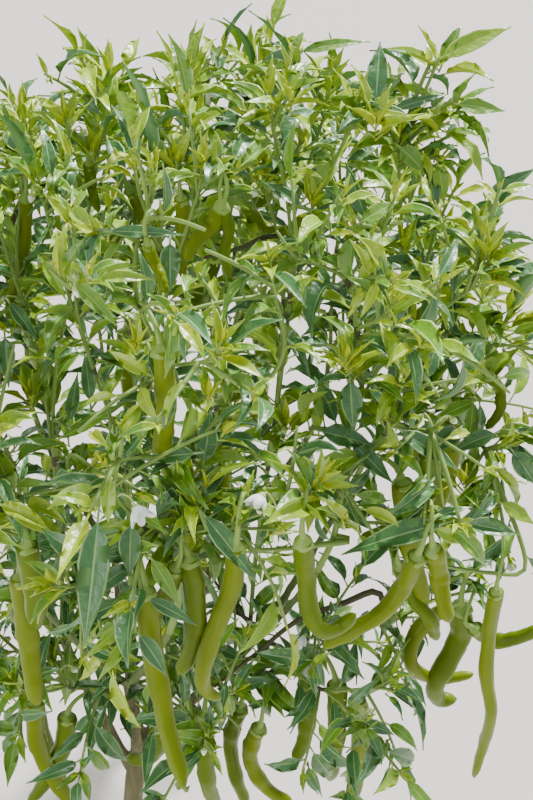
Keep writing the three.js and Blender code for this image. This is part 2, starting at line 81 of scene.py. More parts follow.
def setLight():
    bpy.ops.object.light_add(type="SUN", rotation=radians(light["sunTilt"]))
    bpy.context.object.data.energy = light["sunPower"]
    bpy.context.object.data.angle = math.radians(light["sunSize"])
    bpy.ops.object.light_add(type="AREA", location=light["fillPlace"], rotation=radians(light["fillTilt"]))
    bpy.context.object.data.size = light["fillSize"]
    bpy.context.object.data.energy = light["fillPower"]
    world = bpy.data.worlds.new("paleSky")
    bpy.context.scene.world = world
    world.use_nodes = True
    background = world.node_tree.nodes["Background"]
    background.inputs["Color"].default_value = (*light["sky"], 1)
    background.inputs["Strength"].default_value = light["skyPower"]


def makeFloor():
    bpy.ops.mesh.primitive_plane_add(size=floorLook["size"], location=(0, 0, 0))
    floor = bpy.context.object
    floor.name = "floor"
    finish = bpy.data.materials.new("paleFloor")
    finish.use_nodes = True
    shader = finish.node_tree.nodes["Principled BSDF"]
    shader.inputs["Base Color"].default_value = (*floorLook["colour"], 1)
    shader.inputs["Roughness"].default_value = floorLook["roughness"]
    floor.data.materials.append(finish)


# Plan of the plant in millimetres: the same sizes and rules that its solids were grown by

mainStem = {"forkHeight": 122, "leanX": 13, "leanY": 5, "footRadius": 8.2, "forkRadius": 6.6, "flare": 6.5,
            "flareHeight": 11, "ribs": 5, "ribDepth": 0.24}
crown = {"leanX": 46, "leanY": 34, "leanHeight": 420, "radius": 205}
roofTips = {"count": 64, "height": 572, "rimDrop": 112, "ragged": 30, "nearest": 0, "turn": 0.4, "backDrop": 38}
shadeTips = {"count": 26, "height": 436, "rimDrop": 26, "ragged": 22, "nearest": 0.42, "turn": 1.1, "backDrop": 36}
lowTips = {"count": 4, "height": 268, "ragged": 22, "spread": 50}
boughs = [
    {"name": "right", "bearing": -16, "fork": (78, 232), "low": (-34, 156)},
    {"name": "back_left", "bearing": 122, "fork": (66, 240), "low": (148, 132)},
    {"name": "front_left", "bearing": 258, "fork": (60, 226), "low": (226, 108)},
    {"name": "back_right", "bearing": 54, "fork": (74, 246), "low": (84, 130)},
    {"name": "left", "bearing": 190, "fork": (70, 236), "low": (-70, 100)},
]
limbFork = {"spacing": 10, "below": 4, "boughBow": (0.5, -14), "limbBow": (0.45, -8), "from": 0.97, "halfAngle": 18,
            "reach": 122, "height": 326, "taper": (1.12, 0.92)}
middles = {"top": (58, 458), "outer": (150, 452), "outerAngle": 19}
massFrom = {"top": 0.9, "outer": 1, "low": 0.62}  # where along its bough or limb each kind of mass starts
twig = {"tipRadius": 1.3, "thickening": 0.4, "longInternode": 45, "share": 0.42, "fewShare": 0.55, "bow": 0.45}
bigLeaf = {
    "node": {"length": 100, "bend": 0.75, "incline": 62},
    "tip": [{"length": 88, "bend": 0.55, "incline": 66}, {"length": 74, "bend": 0.35, "incline": 44},
            {"length": 54, "bend": 0.1, "incline": 22}],
    "widths": {100: 36, 88: 32, 74: 25, 54: 16}, "belowFork": 5, "tipSpacing": 4.5, "bareStretch": 62,
    "bareShare": 0.44, "lengthVary": (0.86, 0.28), "inclineVary": (0.85, 0.3), "fold": 0.3, "apart": 10,
    "attempts": 9, "turnOn": 0.7,
}
fruitPlan = {"least": 78, "most": 122, "radius": 6.6, "pedicel": 30, "bend": 1.7, "start": 1.9, "lean": 0.16,
             "lowest": 14, "steps": 14, "swing": 2.4, "attempts": 8, "turnOn": 0.8,
             "share": {"top": 0.25, "outer": 0.62, "low": 1}}
clearance = 1.6
cellMargin = 0.6


def seededRandom(seed):
    state = seed

    def draw():
        nonlocal state
        state = state * 48271 % 2147483647
        return state / 2147483647
    return draw


def unit(vector):
    return vector / norm(vector)


def lerp(start, end, share):
    return start + (end - start) * share


def varied(least, span, share):
    return least + span * share


def crownPoint(bearing, reach, height):
    lean = min(1, height / crown["leanHeight"])
    return np.array([crown["leanX"] * lean + reach * math.cos(bearing),
                     crown["leanY"] * lean + reach * math.sin(bearing), height])


def pipeRadius(tips):
    return twig["tipRadius"] * tips ** twig["thickening"]


class Path:  # a curve that is measured along its length
    def __init__(self, at):
        self.at = at
        self.shares = np.linspace(0, 1, 201)
        steps = np.diff([at(share) for share in self.shares], axis=0)
        self.lengths = np.concatenate([[0], np.cumsum(norm(steps, axis=1))])
        self.length = self.lengths[-1]

    def shareAt(self, along):
        return float(np.interp(along * self.length, self.lengths, self.shares))

    def pointAt(self, along):
        return self.at(self.shareAt(along))

    def tangentAt(self, along):
        share = self.shareAt(along)
        return unit(self.at(min(1, share + 1e-4)) - self.at(max(0, share - 1e-4)))

    def spacedPoints(self, count):
        return np.array([self.pointAt(i / count) for i in range(count + 1)])


def bowPath(start, bend, end):
    return Path(lambda t: (1 - t) ** 2 * start + 2 * (1 - t) * t * bend + t * t * end)


def smoothPath(points):  # passes through every point, evenly spaced in t
    padded = [2 * points[0] - points[1], *points, 2 * points[-1] - points[-2]]

    def at(t):
        place = (len(points) - 1) * t
        i = min(int(place), len(points) - 2)
        p = padded[i:i + 4]
        gaps = [norm(p[k + 1] - p[k]) ** 0.5 for k in range(3)]
        leave = (p[1] - p[0]) / gaps[0] - (p[2] - p[0]) / (gaps[0] + gaps[1]) + (p[2] - p[1]) / gaps[1]
        arrive = (p[2] - p[1]) / gaps[1] - (p[3] - p[1]) / (gaps[1] + gaps[2]) + (p[3] - p[2]) / gaps[2]
        leave, arrive = leave * gaps[1], arrive * gaps[1]
        w = place - i
        return (p[1] + leave * w + (3 * (p[2] - p[1]) - 2 * leave - arrive) * w ** 2
                + (2 * (p[1] - p[2]) + leave + arrive) * w ** 3)
    return Path(at)


def risingPath(start, end, share, lift):
    return bowPath(start, lerp(start, end, share) + skyward * lift, end)


def storeyOfTips(storey, seed):
    random = seededRandom(seed)
    tips = []
    for i in range(storey["count"]):
        share = math.sqrt(lerp(storey["nearest"], 1, (i + 0.5) / storey["count"]))
        bearing = i * goldenAngle + storey["turn"]
        drop = storey["rimDrop"] * share ** 4 + storey["backDrop"] * share * math.sin(bearing)
        tips.append(crownPoint(bearing, crown["radius"] * share,
                               storey["height"] - drop + storey["ragged"] * (2 * random() - 1)))
    return tips


def lowShootTips(middle, seed):
    random = seededRandom(seed)
    tips = []
    for i in range(lowTips["count"]):
        reach = lowTips["spread"] * math.sqrt((i + 0.5) / lowTips["count"])
        tips.append(np.array([middle[0] + reach * math.cos(i * goldenAngle),
                              middle[1] + reach * math.sin(i * goldenAngle),
                              middle[2] + lowTips["ragged"] * (2 * random() - 1)]))
    return tips


def planMasses():
    masses = []

    def add(bough, part, limb, middle):
        kind = part.split("_")[0]
        masses.append(Item(name=f"{bough}_{part}", kind=kind, limb=limb, at=massFrom[kind], bough=bough, middle=middle))

    for bough in boughs:
        bearing, name = math.radians(bough["bearing"]), bough["name"]
        add(name, "top", "bough_" + name, crownPoint(bearing, *middles["top"]))
        for side, sign in (("a", -1), ("b", 1)):
            turned = bearing + sign * math.radians(middles["outerAngle"])
            add(name, "outer_" + side, f"limb_{name}_{side}", crownPoint(turned, *middles["outer"]))
        low = crownPoint(math.radians(bough["low"][0]), bough["low"][1], lowTips["height"])
        add(name, "low", "bough_" + name, low)
    for i, mass in enumerate(masses):
        mass.seed = 1000 + 77 * i
        mass.tips = lowShootTips(mass.middle, mass.seed) if mass.kind == "low" else []
    for tip in storeyOfTips(roofTips, 11) + storeyOfTips(shadeTips, 23):
        min(masses, key=lambda mass: np.sum((tip - mass.middle) ** 2)).tips.append(tip)
    return masses


def planLimbs(masses):
    fed = {mass.name: len(mass.tips) for mass in masses}
    fork = np.array([mainStem["leanX"], mainStem["leanY"], mainStem["forkHeight"]], float)
    stemPath = bowPath(np.zeros(3), np.array([-2, 0, mainStem["forkHeight"] * 0.5]), fork)
    limbs = [Item(name="main_stem", kind="mainStem", path=stemPath,
                  startRadius=mainStem["footRadius"], endRadius=mainStem["forkRadius"])]
    for i, bough in enumerate(boughs):
        bearing, name = math.radians(bough["bearing"]), bough["name"]
        start = stemPath.pointAt(1 - (i * limbFork["spacing"] + limbFork["below"]) / mainStem["forkHeight"])
        path = risingPath(start, crownPoint(bearing, *bough["fork"]), *limbFork["boughBow"])
        outer = {side: fed[f"{name}_outer_{side}"] for side in "ab"}
        onward = outer["a"] + outer["b"]
        limbs.append(Item(name="bough_" + name, kind="bough", path=path, endRadius=pipeRadius(onward),
                          startRadius=pipeRadius(onward + fed[name + "_top"] + fed[name + "_low"])))
        for side, sign in (("a", -1), ("b", 1)):
            turned = bearing + sign * math.radians(limbFork["halfAngle"])
            limbEnd = crownPoint(turned, limbFork["reach"], limbFork["height"])
            radius = pipeRadius(outer[side])
            limbs.append(Item(name=f"limb_{name}_{side}", kind="limb",
                              path=risingPath(path.pointAt(limbFork["from"]), limbEnd, *limbFork["limbBow"]),
                              startRadius=radius * limbFork["taper"][0], endRadius=radius * limbFork["taper"][1]))
    return limbs


def divideTips(tips):  # between the two that stand furthest apart, the larger share first
    pair = max(((a, b) for a in tips for b in tips), key=lambda two: norm(two[0] - two[1]))
    near = [tip for tip in tips if norm(tip - pair[0]) <= norm(tip - pair[1])]
    far = [tip for tip in tips if not any(tip is other for other in near)]
    return (near, far) if len(near) >= len(far) else (far, near)


def growStems(mass, limb, keepsClear):
    start = limb.path.pointAt(mass.at)
    heading = limb.path.tangentAt(1) if mass.at == 1 else unit(mass.middle - start)
    stems = []

    def extend(stem, direction, tips):
        origin = stem.points[-1]
        reach = sum(tips) / len(tips) - origin
        share = 1 if len(tips) == 1 else twig["fewShare"] if len(tips) < 4 else twig["share"]
        bend = origin + direction * norm(reach) * share * twig["bow"]
        internode = bowPath(origin, bend, origin + reach * share)
        room = pipeRadius(len(tips)) + clearance * 0.5
        isFirst = len(stems) == 1 and len(stem.points) == 1
        if not isFirst and not keepsClear(np.array([internode.at(i / 8) for i in range(2, 9)]), room):
            return
        if internode.length > twig["longInternode"]:
            stem.points.append(internode.at(0.5))
        stem.points.append(internode.at(1))
        onward = internode.tangentAt(1)
        if len(tips) == 1:
            return
        most, rest = divideTips(tips)
        stem.forks.append(Item(point=stem.points[-1], direction=onward))
        side = Item(points=[stem.points[-1]], forks=[], startRadius=pipeRadius(len(rest)))
        stems.append(side)
        extend(stem, onward, most)
        extend(side, onward, rest)

    main = Item(points=[start], forks=[], startRadius=pipeRadius(len(mass.tips)))
    stems.append(main)
    extend(main, heading, mass.tips)
    grown = [stem for stem in stems if len(stem.points) > 1]
    for stem in grown:
        stem.path = smoothPath(stem.points)
    return grown


def fruitLine(fruit, steps):
    whole = fruitPlan["pedicel"] + fruit.length
    stalkShare = fruitPlan["pedicel"] / whole
    points = [fruit.root]
    for i in range(steps):
        share = (i + 0.5) / steps
        body = max(0, (share - stalkShare) / (1 - stalkShare))
        stalk = min(1, share / stalkShare)
        angle = lerp(fruitPlan["start"], fruitPlan["lean"], stalk) + fruit.bend * body ** 1.4
        bearing = fruit.bearing + fruit.twist * body
        points.append(points[-1] + whole / steps * np.array([math.sin(angle) * math.cos(bearing),
                                                             math.sin(angle) * math.sin(bearing), -math.cos(angle)]))
    return np.array(points)


def hangFruits(mass, keepsClear):
    random = seededRandom(mass.seed + 31)
    fruits = []
    for fork in [fork for stem in mass.stems for fork in stem.forks]:
        outward = math.atan2(fork.point[1] - crown["leanY"], fork.point[0] - crown["leanX"])
        length = lerp(fruitPlan["least"], fruitPlan["most"], random())
        bend = fruitPlan["bend"] * (2 * random() - 1)
        swing = random() - 0.5
        if random() > fruitPlan["share"][mass.kind]:
            continue
        for attempt in range(fruitPlan["attempts"]):
            bearing = outward + swing * fruitPlan["swing"] + attempt * fruitPlan["turnOn"]
            fruit = Item(root=fork.point, bearing=bearing, length=length, bend=bend, twist=swing)
            line = fruitLine(fruit, fruitPlan["steps"])
            if line[:, 2].min() < fruitPlan["lowest"]:
                continue
            if keepsClear(line[3:], fruitPlan["radius"] + clearance):
                fruits.append(fruit)
                break
    return fruits


def leafOn(root, aim, normal):  # its upper side faces the normal, made square to its aim
    normal = unit(normal - aim * (normal @ aim))
    return Item(root=root, aim=aim, normal=normal, across=np.cross(aim, normal))


def turnedLeaf(root, direction, turn, incline):  # turned about its twig and inclined from it
    side = unit(np.cross(direction, skyward if abs(direction[2]) < 0.9 else np.array([1.0, 0, 0])))
    side = side * math.cos(turn) + np.cross(direction, side) * math.sin(turn)
    return leafOn(root, unit(direction * math.cos(incline) + side * math.sin(incline)), direction * 0.5 + skyward * 0.6)


def leafPoint(leaf, along, across, lift):
    angle = leaf.bend * along
    forward = leaf.length * math.sin(angle) / leaf.bend
    down = leaf.length * (1 - math.cos(angle)) / leaf.bend
    return (leaf.root + leaf.aim * (forward + lift * math.sin(angle))
            + leaf.normal * (lift * math.cos(angle) - down) + leaf.across * across)


def leafSamples(leaf):
    samples = []
    for along in (0.3, 0.45, 0.6, 0.8, 1):
        half = leaf.width / 2 * min(1, 2.2 * (1 - along)) if along < 1 else 0
        for across in (-half, 0, half):
            samples.append(leafPoint(leaf, along, across, abs(across) * bigLeaf["fold"]))
    return np.array(samples)


def setBigLeaves(mass, keepsClear):  # each one's place is taken by a spray of true leaves
    random = seededRandom(mass.seed + 5)
    leaves = []
    taken = np.zeros((0, 3))
    leafTurn = random() * math.pi * 2

    def addLeaf(point, direction, size):
        nonlocal leafTurn, taken
        lengthShare = varied(*bigLeaf["lengthVary"], random())
        incline = math.radians(size["incline"]) * varied(*bigLeaf["inclineVary"], random())
        leafTurn += goldenAngle
        for attempt in range(bigLeaf["attempts"]):
            leaf = turnedLeaf(point, direction, leafTurn + attempt * bigLeaf["turnOn"], incline)
            leaf.length = size["length"] * lengthShare
            leaf.width = bigLeaf["widths"][size["length"]] * (leaf.length / size["length"])
            leaf.bend = size["bend"]
            samples = leafSamples(leaf)
            gaps = norm(samples[3:, None] - taken[None], axis=2)
            if keepsClear(samples, clearance) and not (gaps <= bigLeaf["apart"]).any():
                leaf.atTip = size in bigLeaf["tip"]
                leaves.append(leaf)
                taken = np.concatenate([taken, samples[3:]])
                return

    for stem in mass.stems:
        length = stem.path.length
        for fork in stem.forks:
            addLeaf(fork.point - fork.direction * bigLeaf["belowFork"], fork.direction, bigLeaf["node"])
        bare = norm(stem.forks[-1].point - stem.points[-1]) if stem.forks else length
        half = 1 - bare * bigLeaf["bareShare"] / length
        if bare > bigLeaf["bareStretch"]:
            addLeaf(stem.path.pointAt(half), stem.path.tangentAt(half), bigLeaf["node"])
        for i, size in enumerate(bigLeaf["tip"]):
            along = 1 - (len(bigLeaf["tip"]) - 1 - i) * (bigLeaf["tipSpacing"] / length)
            addLeaf(stem.path.pointAt(along), stem.path.tangentAt(along), size)
    return leaves


def room(points, radii):
    return Item(points=np.array(points), radii=np.array(radii))


def clearOf(rooms, points, gap):
    for taken in rooms:
        gaps = norm(points[:, None] - taken.points[None], axis=2)
        if (gaps <= taken.radii[None] + gap).any():
            return False
    return True


def growPlant():
    masses = planMasses()
    limbs = planLimbs(masses)
    centres = np.array([mass.middle for mass in masses])

    def inOwnSpace(mass, points):
        away = ((points[:, None] - centres[None]) ** 2).sum(axis=2)
        own = ((points - mass.middle) ** 2).sum(axis=1)
        spans = norm(centres - mass.middle, axis=1)
        others = spans > 1e-9
        return (away[:, others] - own[:, None] > 2 * spans[others] * cellMargin).all()

    points, radii = [], []
    for limb in limbs:
        count = math.ceil(limb.path.length / 5)
        points += list(limb.path.spacedPoints(count))
        radii += [lerp(limb.startRadius, limb.endRadius, i / count) for i in range(count + 1)]
    limbRoom = room(points, radii)
    byName = {limb.name: limb for limb in limbs}
    for mass in masses:
        mass.stems = growStems(mass, byName[mass.limb], lambda places, gap, mass=mass:
                               inOwnSpace(mass, places) and clearOf([limbRoom], places, gap))
    points, radii = [], []
    for stem in [stem for mass in masses for stem in mass.stems]:
        spaced = stem.path.spacedPoints(math.ceil(stem.path.length / 7))
        points += list(spaced)
        radii += [stem.startRadius] * len(spaced)
    stemRoom = room(points, radii)
    fruitRooms = []
    for mass in masses:
        mass.fruits = hangFruits(mass, lambda places, gap: clearOf([limbRoom, stemRoom, *fruitRooms], places, gap))
        for fruit in mass.fruits:
            line = fruitLine(fruit, fruitPlan["steps"])[3:]
            fruitRooms.append(room(line, [fruitPlan["radius"]] * len(line)))
    for mass in masses:
        mass.bigLeaves = setBigLeaves(mass, lambda places, gap, mass=mass: inOwnSpace(mass, places)
                                      and clearOf([limbRoom, *fruitRooms], places, gap))
    return masses, limbs, limbRoom, fruitRooms


masses, limbs, limbRoom, fruitRooms = growPlant()
stemTips = [Item(point=stem.points[-1], direction=stem.path.tangentAt(1), mass=mass)
            for mass in masses for stem in mass.stems]
print("grown:", len(stemTips), "shoots,", sum(len(mass.bigLeaves) for mass in masses), "sprays")


# Meshes from arrays

def around(sides):
    return np.arange(sides) * (2 * math.pi / sides)


def joinedMesh(name, parts, finishes):  # parts hold corners in millimetres, the corners of each face, and its finish
    corners = np.concatenate([part.corners for part in parts])
    offsets = np.cumsum([0] + [len(part.corners) for part in parts])
    loops = np.concatenate([part.loops + offset for part, offset in zip(parts, offsets)])
    sizes = np.concatenate([part.sizes for part in parts])
    slots = np.concatenate([part.slots for part in parts])
    mesh = bpy.data.meshes.new(name)
    mesh.vertices.add(len(corners))
    mesh.vertices.foreach_set("co", (corners * mm).astype(np.float32).ravel())
    mesh.loops.add(len(loops))
    mesh.loops.foreach_set("vertex_index", loops.astype(np.int32))
    mesh.polygons.add(len(sizes))
    mesh.polygons.foreach_set("loop_start", (np.cumsum(sizes) - sizes).astype(np.int32))
    mesh.polygons.foreach_set("material_index", slots.astype(np.int32))
    mesh.polygons.foreach_set("use_smooth", np.ones(len(sizes), bool))
    mesh.update(calc_edges=True)
    mesh.validate()
    for finish in finishes:
        mesh.materials.append(finish)
    piece = bpy.data.objects.new(name, mesh)
    bpy.context.collection.objects.link(piece)
    return piece


def takePattern(piece):  # a small shape modelled once, as arrays to copy
    mesh = piece.data
    corners = np.array([corner.co[:] for corner in mesh.vertices])
    loops = np.array([loop.vertex_index for loop in mesh.loops])
    sizes = np.array([face.loop_total for face in mesh.polygons])
    slots = np.array([face.material_index for face in mesh.polygons])
    bpy.data.objects.remove(piece)
    return Item(corners=corners, loops=loops, sizes=sizes, slots=slots)


def sweptTube(points, radii, sides, slots=0):  # radii: one for each ring, or one for each ring and side
    points = np.asarray(points)
    radii = np.asarray(radii, float)
    radii = radii[:, None] * np.ones(sides) if radii.ndim == 1 else radii
    tangents = np.gradient(points, axis=0)
    tangents /= norm(tangents, axis=1)[:, None]
    across = np.cross(tangents[0], [0.31, 0.87, 0.12])
    sideways = []
    for tangent in tangents:
        across = unit(across - tangent * (tangent @ across))
        sideways.append(across)
    sideways = np.array(sideways)
    upwards = np.cross(tangents, sideways)
    angles = around(sides)
    rings = points[:, None] + radii[..., None] * (np.cos(angles)[None, :, None] * sideways[:, None]
                                                  + np.sin(angles)[None, :, None] * upwards[:, None])
    i, k = np.meshgrid(np.arange(len(points) - 1), np.arange(sides), indexing="ij")
    ahead = (k + 1) % sides
    quads = np.stack([i * sides + k, i * sides + ahead, (i + 1) * sides + ahead, (i + 1) * sides + k], axis=-1)
    first, last = np.arange(sides)[::-1], (len(points) - 1) * sides + np.arange(sides)
    faceSlots = np.repeat(np.broadcast_to(slots, len(points) - 1), sides)
    return Item(corners=rings.reshape(-1, 3), loops=np.concatenate([quads.ravel(), first, last]),
                sizes=np.array([4] * len(faceSlots) + [sides, sides]),
                slots=np.concatenate([faceSlots, [faceSlots[0], faceSlots[-1]]]))


def placed(pattern, place, axes):  # axes: where the pattern's x, y and z go
    return Item(corners=place + pattern.corners @ axes, loops=pattern.loops, sizes=pattern.sizes, slots=pattern.slots)


def keepPiece(piece, nodes):
    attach(piece, "root")
    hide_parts(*nodes)
    print(piece.name, "faces", len(piece.data.polygons))


def boughPieces(name, partsOf, finishes):  # one piece for each bough, in place of its masses of foliage
    for bough, kit in boughKit.items():
        nodes = [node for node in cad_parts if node.startswith("foliage_" + bough)]
        keepPiece(joinedMesh(f"{name}_{bough}", partsOf(bough, kit), finishes), nodes)


# Leaves: one closed blade is modelled, then laid along the arc of each leaf

leafLook = {
    "corners": 7, "stations": (0.16, 0.21, 0.3, 0.43, 0.58, 0.73, 0.88), "petiole": 0.16,
    "across": (-1, -0.86, -0.07, 0.07, 0.86, 1, 0), "stalkRound": (0, 0.45, 0.5, 0.5, 0.45, 0, -1), "stalkHalf": 0.6,
    "tipHalf": 0.22, "thickness": 0.7, "groove": 0.25, "widest": 0.34, "rounding": 0.75, "droop": 1.35,
}
tints = ["deep", "grown", "fresh", "young", "tender"]
# Leaves below the given height draw from the darker lists, as painted shade under the canopy
tintPlan = {"low": ["deep", "deep", "deep", "grown", "grown"],
            "high": ["deep", "deep", "deep", "grown", "grown", "fresh", "fresh", "young"],
            "paintedShadeBelow": 390, "longest": 38,  # in millimetres; leaves longer than this are fresh at most
            "shadedShoot": ["deep", "grown", "grown", "fresh", "young"],
            "highShoot": ["fresh", "fresh", "young", "young", "tender"], "lowSize": 0.85}


def modelLeaf():
    bpy.ops.mesh.primitive_cylinder_add(vertices=leafLook["corners"], radius=1, depth=1, end_fill_type="NGON",
                                        location=(0, 0, 0.5))
    blade = bpy.context.object
    bpy.ops.object.transform_apply(location=True)
    bpy.ops.object.mode_set(mode="EDIT")
    for station in leafLook["stations"]:
        bpy.ops.mesh.select_all(action="SELECT")
        bpy.ops.mesh.bisect(plane_co=(0, 0, station), plane_no=(0, 0, 1))
    bpy.ops.object.mode_set(mode="OBJECT")
    pattern = takePattern(blade)
    angles = np.arctan2(pattern.corners[:, 1], pattern.corners[:, 0]) - math.atan2(*pattern.corners[0, 1::-1])
    pattern.corner = np.round(angles * leafLook["corners"] / (2 * math.pi)).astype(int) % leafLook["corners"]
    pattern.along = pattern.corners[:, 2]
    starts = np.cumsum(pattern.sizes) - pattern.sizes
    pattern.basal = np.array([pattern.along[pattern.loops[start:start + size]].max() < 0.5
                              for start, size in zip(starts, pattern.sizes)])
    for face, (start, size) in enumerate(zip(starts, pattern.sizes)):
        ring = pattern.loops[start:start + size]
        corners = set(pattern.corner[ring])
        onStalk = pattern.along[ring].max() <= leafLook["petiole"] + 0.001
        if onStalk or corners in ({2, 3}, {0, 1}, {4, 5}):  # the rib, and the rims, which are painted pale as a highlight along the edges
            pattern.slots[face] = 1
        elif corners in ({5, 6}, {6, 0}):  # the underside
            pattern.slots[face] = 2
    return pattern


def layLeaves(leaves, pattern):
    def column(key):
        return np.array([getattr(leaf, key) for leaf in leaves])[:, None]

    def bentBy(along):  # how far each leaf has turned down by a place along it
        return column("lift") + column("bend") * along ** leafLook["droop"]

    def summed(steps):  # from its foot to each place along it
        return np.concatenate([np.zeros((len(leaves), 1)), np.cumsum(steps, axis=1)], axis=1) / count

    count = 60
    fine = np.linspace(0, 1, count + 1)
    turned = bentBy((fine[1:] + fine[:-1]) / 2)
    pick = np.searchsorted(fine, pattern.along - 1e-6).clip(0, count)
    forward, down, pitch = (part[:, pick] for part in (summed(np.cos(turned)), summed(np.sin(turned)), bentBy(fine)))
    stalk, peak = leafLook["petiole"], leafLook["widest"]
    blade = np.clip((pattern.along - stalk) / (1 - stalk), 0, 1)[None]
    rise, fall = leafLook["rounding"], leafLook["rounding"] * (1 - peak) / peak
    shape = (blade / peak) ** rise * ((1 - blade) / (1 - peak)) ** fall
    half = np.maximum(column("width") / 2 * shape, np.where(blade > 0.5, leafLook["tipHalf"], leafLook["stalkHalf"]))
    across = np.array(leafLook["across"])[pattern.corner][None]
    onBlade = np.minimum(1, shape * 3)
    x = across * half
    ripple = np.sin(blade * column("waves") * 2 * math.pi + column("phase") + np.sign(across) * 0.9)
    lift = np.abs(x) * column("fold") * onBlade + across ** 2 * ripple * column("ruffle") * half * onBlade
    ribbed = np.where(np.abs(across) < 0.5, -leafLook["groove"] * onBlade, 0)
    lift = lift + np.where(pattern.corner == 6, -leafLook["thickness"] * (0.5 + 0.5 * (1 - blade)), ribbed)
    stalkRound = np.array(leafLook["stalkRound"])[pattern.corner][None] * leafLook["stalkHalf"]
    lift = lift * onBlade + stalkRound * (1 - onBlade)
    roll = column("twist") * blade
    x, lift = x * np.cos(roll) - lift * np.sin(roll), x * np.sin(roll) + lift * np.cos(roll)
    length = column("length")
    sway = column("sway") * blade ** 2 * length
    aim, normal, side, root = (column(key) for key in ("aim", "normal", "across", "root"))
    corners = (root + aim * (forward * length + lift * np.sin(pitch))[..., None]
               + normal * (lift * np.cos(pitch) - down * length)[..., None] + side * (x + sway)[..., None])
    tint = np.array([tints.index(leaf.tint) for leaf in leaves])[:, None] + column("paleBase") * pattern.basal[None]
    slots = np.minimum(len(tints) - 1, tint) * 3 + pattern.slots[None]
    offsets = np.arange(len(leaves))[:, None] * len(pattern.along)
    return Item(corners=corners.reshape(-1, 3), loops=(pattern.loops[None] + offsets).ravel(),
                sizes=np.tile(pattern.sizes, len(leaves)), slots=slots.ravel())


# Sprays: the leaves that grow where the plan of the plant has one big leaf, along the twigs and at their tips

sprayPlan = {
    "along": {"twig": 0.64, "side": (0.2, 0.36, 0.52, 0.68, 0.84), "young": 6},
    "tip": {"twig": 0.52, "side": (0.3, 0.55, 0.8), "young": 4},
    "shortBelow": 62, "shortTwig": 0.2, "radii": (1.25, 0.8), "longest": 50, "endBend": (0.1, 0.6), "youngSize": 0.78,
    "length": (24, 45), "incline": (45, 75), "bend": (0.7, 1.6),
}
leafPlan = {"slimness": (0.2, 0.31), "nearFrom": 700.0, "nearSize": 0.8, "lift": -0.12, "fold": (0.25, 1.0),
            "ruffle": (0.06, 0.3), "waves": (1.3, 2.8), "phase": (0, 6.28), "sway": (-0.16, 0.16), "twist": (-0.7, 0.7)}
rosettePlan = {"leaves": 9, "lengths": (35, 15), "inclines": (62, 8), "bends": (0.9, -0.25), "rise": 17, "upward": 0.9,
               "slimness": (0.28, 0.22), "vary": (0.85, 1.15), "mixed": 0.4, "spread": 0.8, "attempts": 3}
shootPlan = {"radii": (1.3, 1.1, 0.7), "flowerAway": (7, 11), "flowerRise": (-0.2, 0.5), "openShare": 0.16}
stemLeaves = {"spacing": 8.6, "thickest": 2.6, "length": (25, 50), "incline": (42, 76), "bend": (0.7, 1.6)}
roomPlan = {"beyond": 6.0, "rim": 14.0,  # how far a leaf may stand out of the solids' box, and where its rim starts
            "lowest": 8, "gap": 0.8, "side": 0.4, "apart": 5.6, "apartYoung": 4.2, "apartEnd": 4.0,
            "places": (0.5, 0.75, 1.0), "sightPlaces": (0.2, 0.32, 0.44, 0.56, 0.68, 0.8, 0.92), "turnOn": 0.9}
random = np.random.default_rng(5)
boughKit = {bough["name"]: Item(leaves=[], twigs=[], pods=[], flowers=[]) for bough in boughs}
boxLow, boxHigh = (np.array(corner) / mm for corner in cadBox)


def within(low, high):
    return float(random.uniform(low, high))


def anyTurn():
    return within(0, 6.28)


def shapeLeaf(leaf, plan):  # how far its blade folds, ripples, bends aside and twists
    for key in ("fold", "ruffle", "waves", "phase", "sway", "twist"):
        setattr(leaf, key, within(*plan[key]))
    return leaf


def sizeAt(place, plan):  # smaller close to the camera
    return max(plan["nearSize"], min(1, inPicture(place)[0, 2] / plan["nearFrom"]))


def oneLeaf(leaf, length, bend, tint, slimness=None):
    leaf.length = length * sizeAt(leaf.root, leafPlan)
    leaf.width = leaf.length * (slimness or within(*leafPlan["slimness"]))
    leaf.paleBase = slimness is not None
    leaf.bend = bend
    leaf.lift = leafPlan["lift"] * bend
    leaf.tint = "fresh" if tint == "young" and leaf.length > tintPlan["longest"] else tint
    return shapeLeaf(leaf, leafPlan)


def addTwig(bough, points, radii, finish=0):  # finish: 0 green, 1 dark
    boughKit[bough].twigs.append(Item(points=points, radii=radii, finish=finish))


podRooms = [room(np.concatenate([taken.points for taken in fruitRooms]),
                 np.concatenate([taken.radii for taken in fruitRooms]))]
leafMiddles = {bough["name"]: np.zeros((0, 3)) for bough in boughs}


# Pods, flowers, twigs, leaves and shoots that show, by their places in a picture 533 wide and 800 high. Each grows
# from the nearest twig, at that twig's distance from the camera.

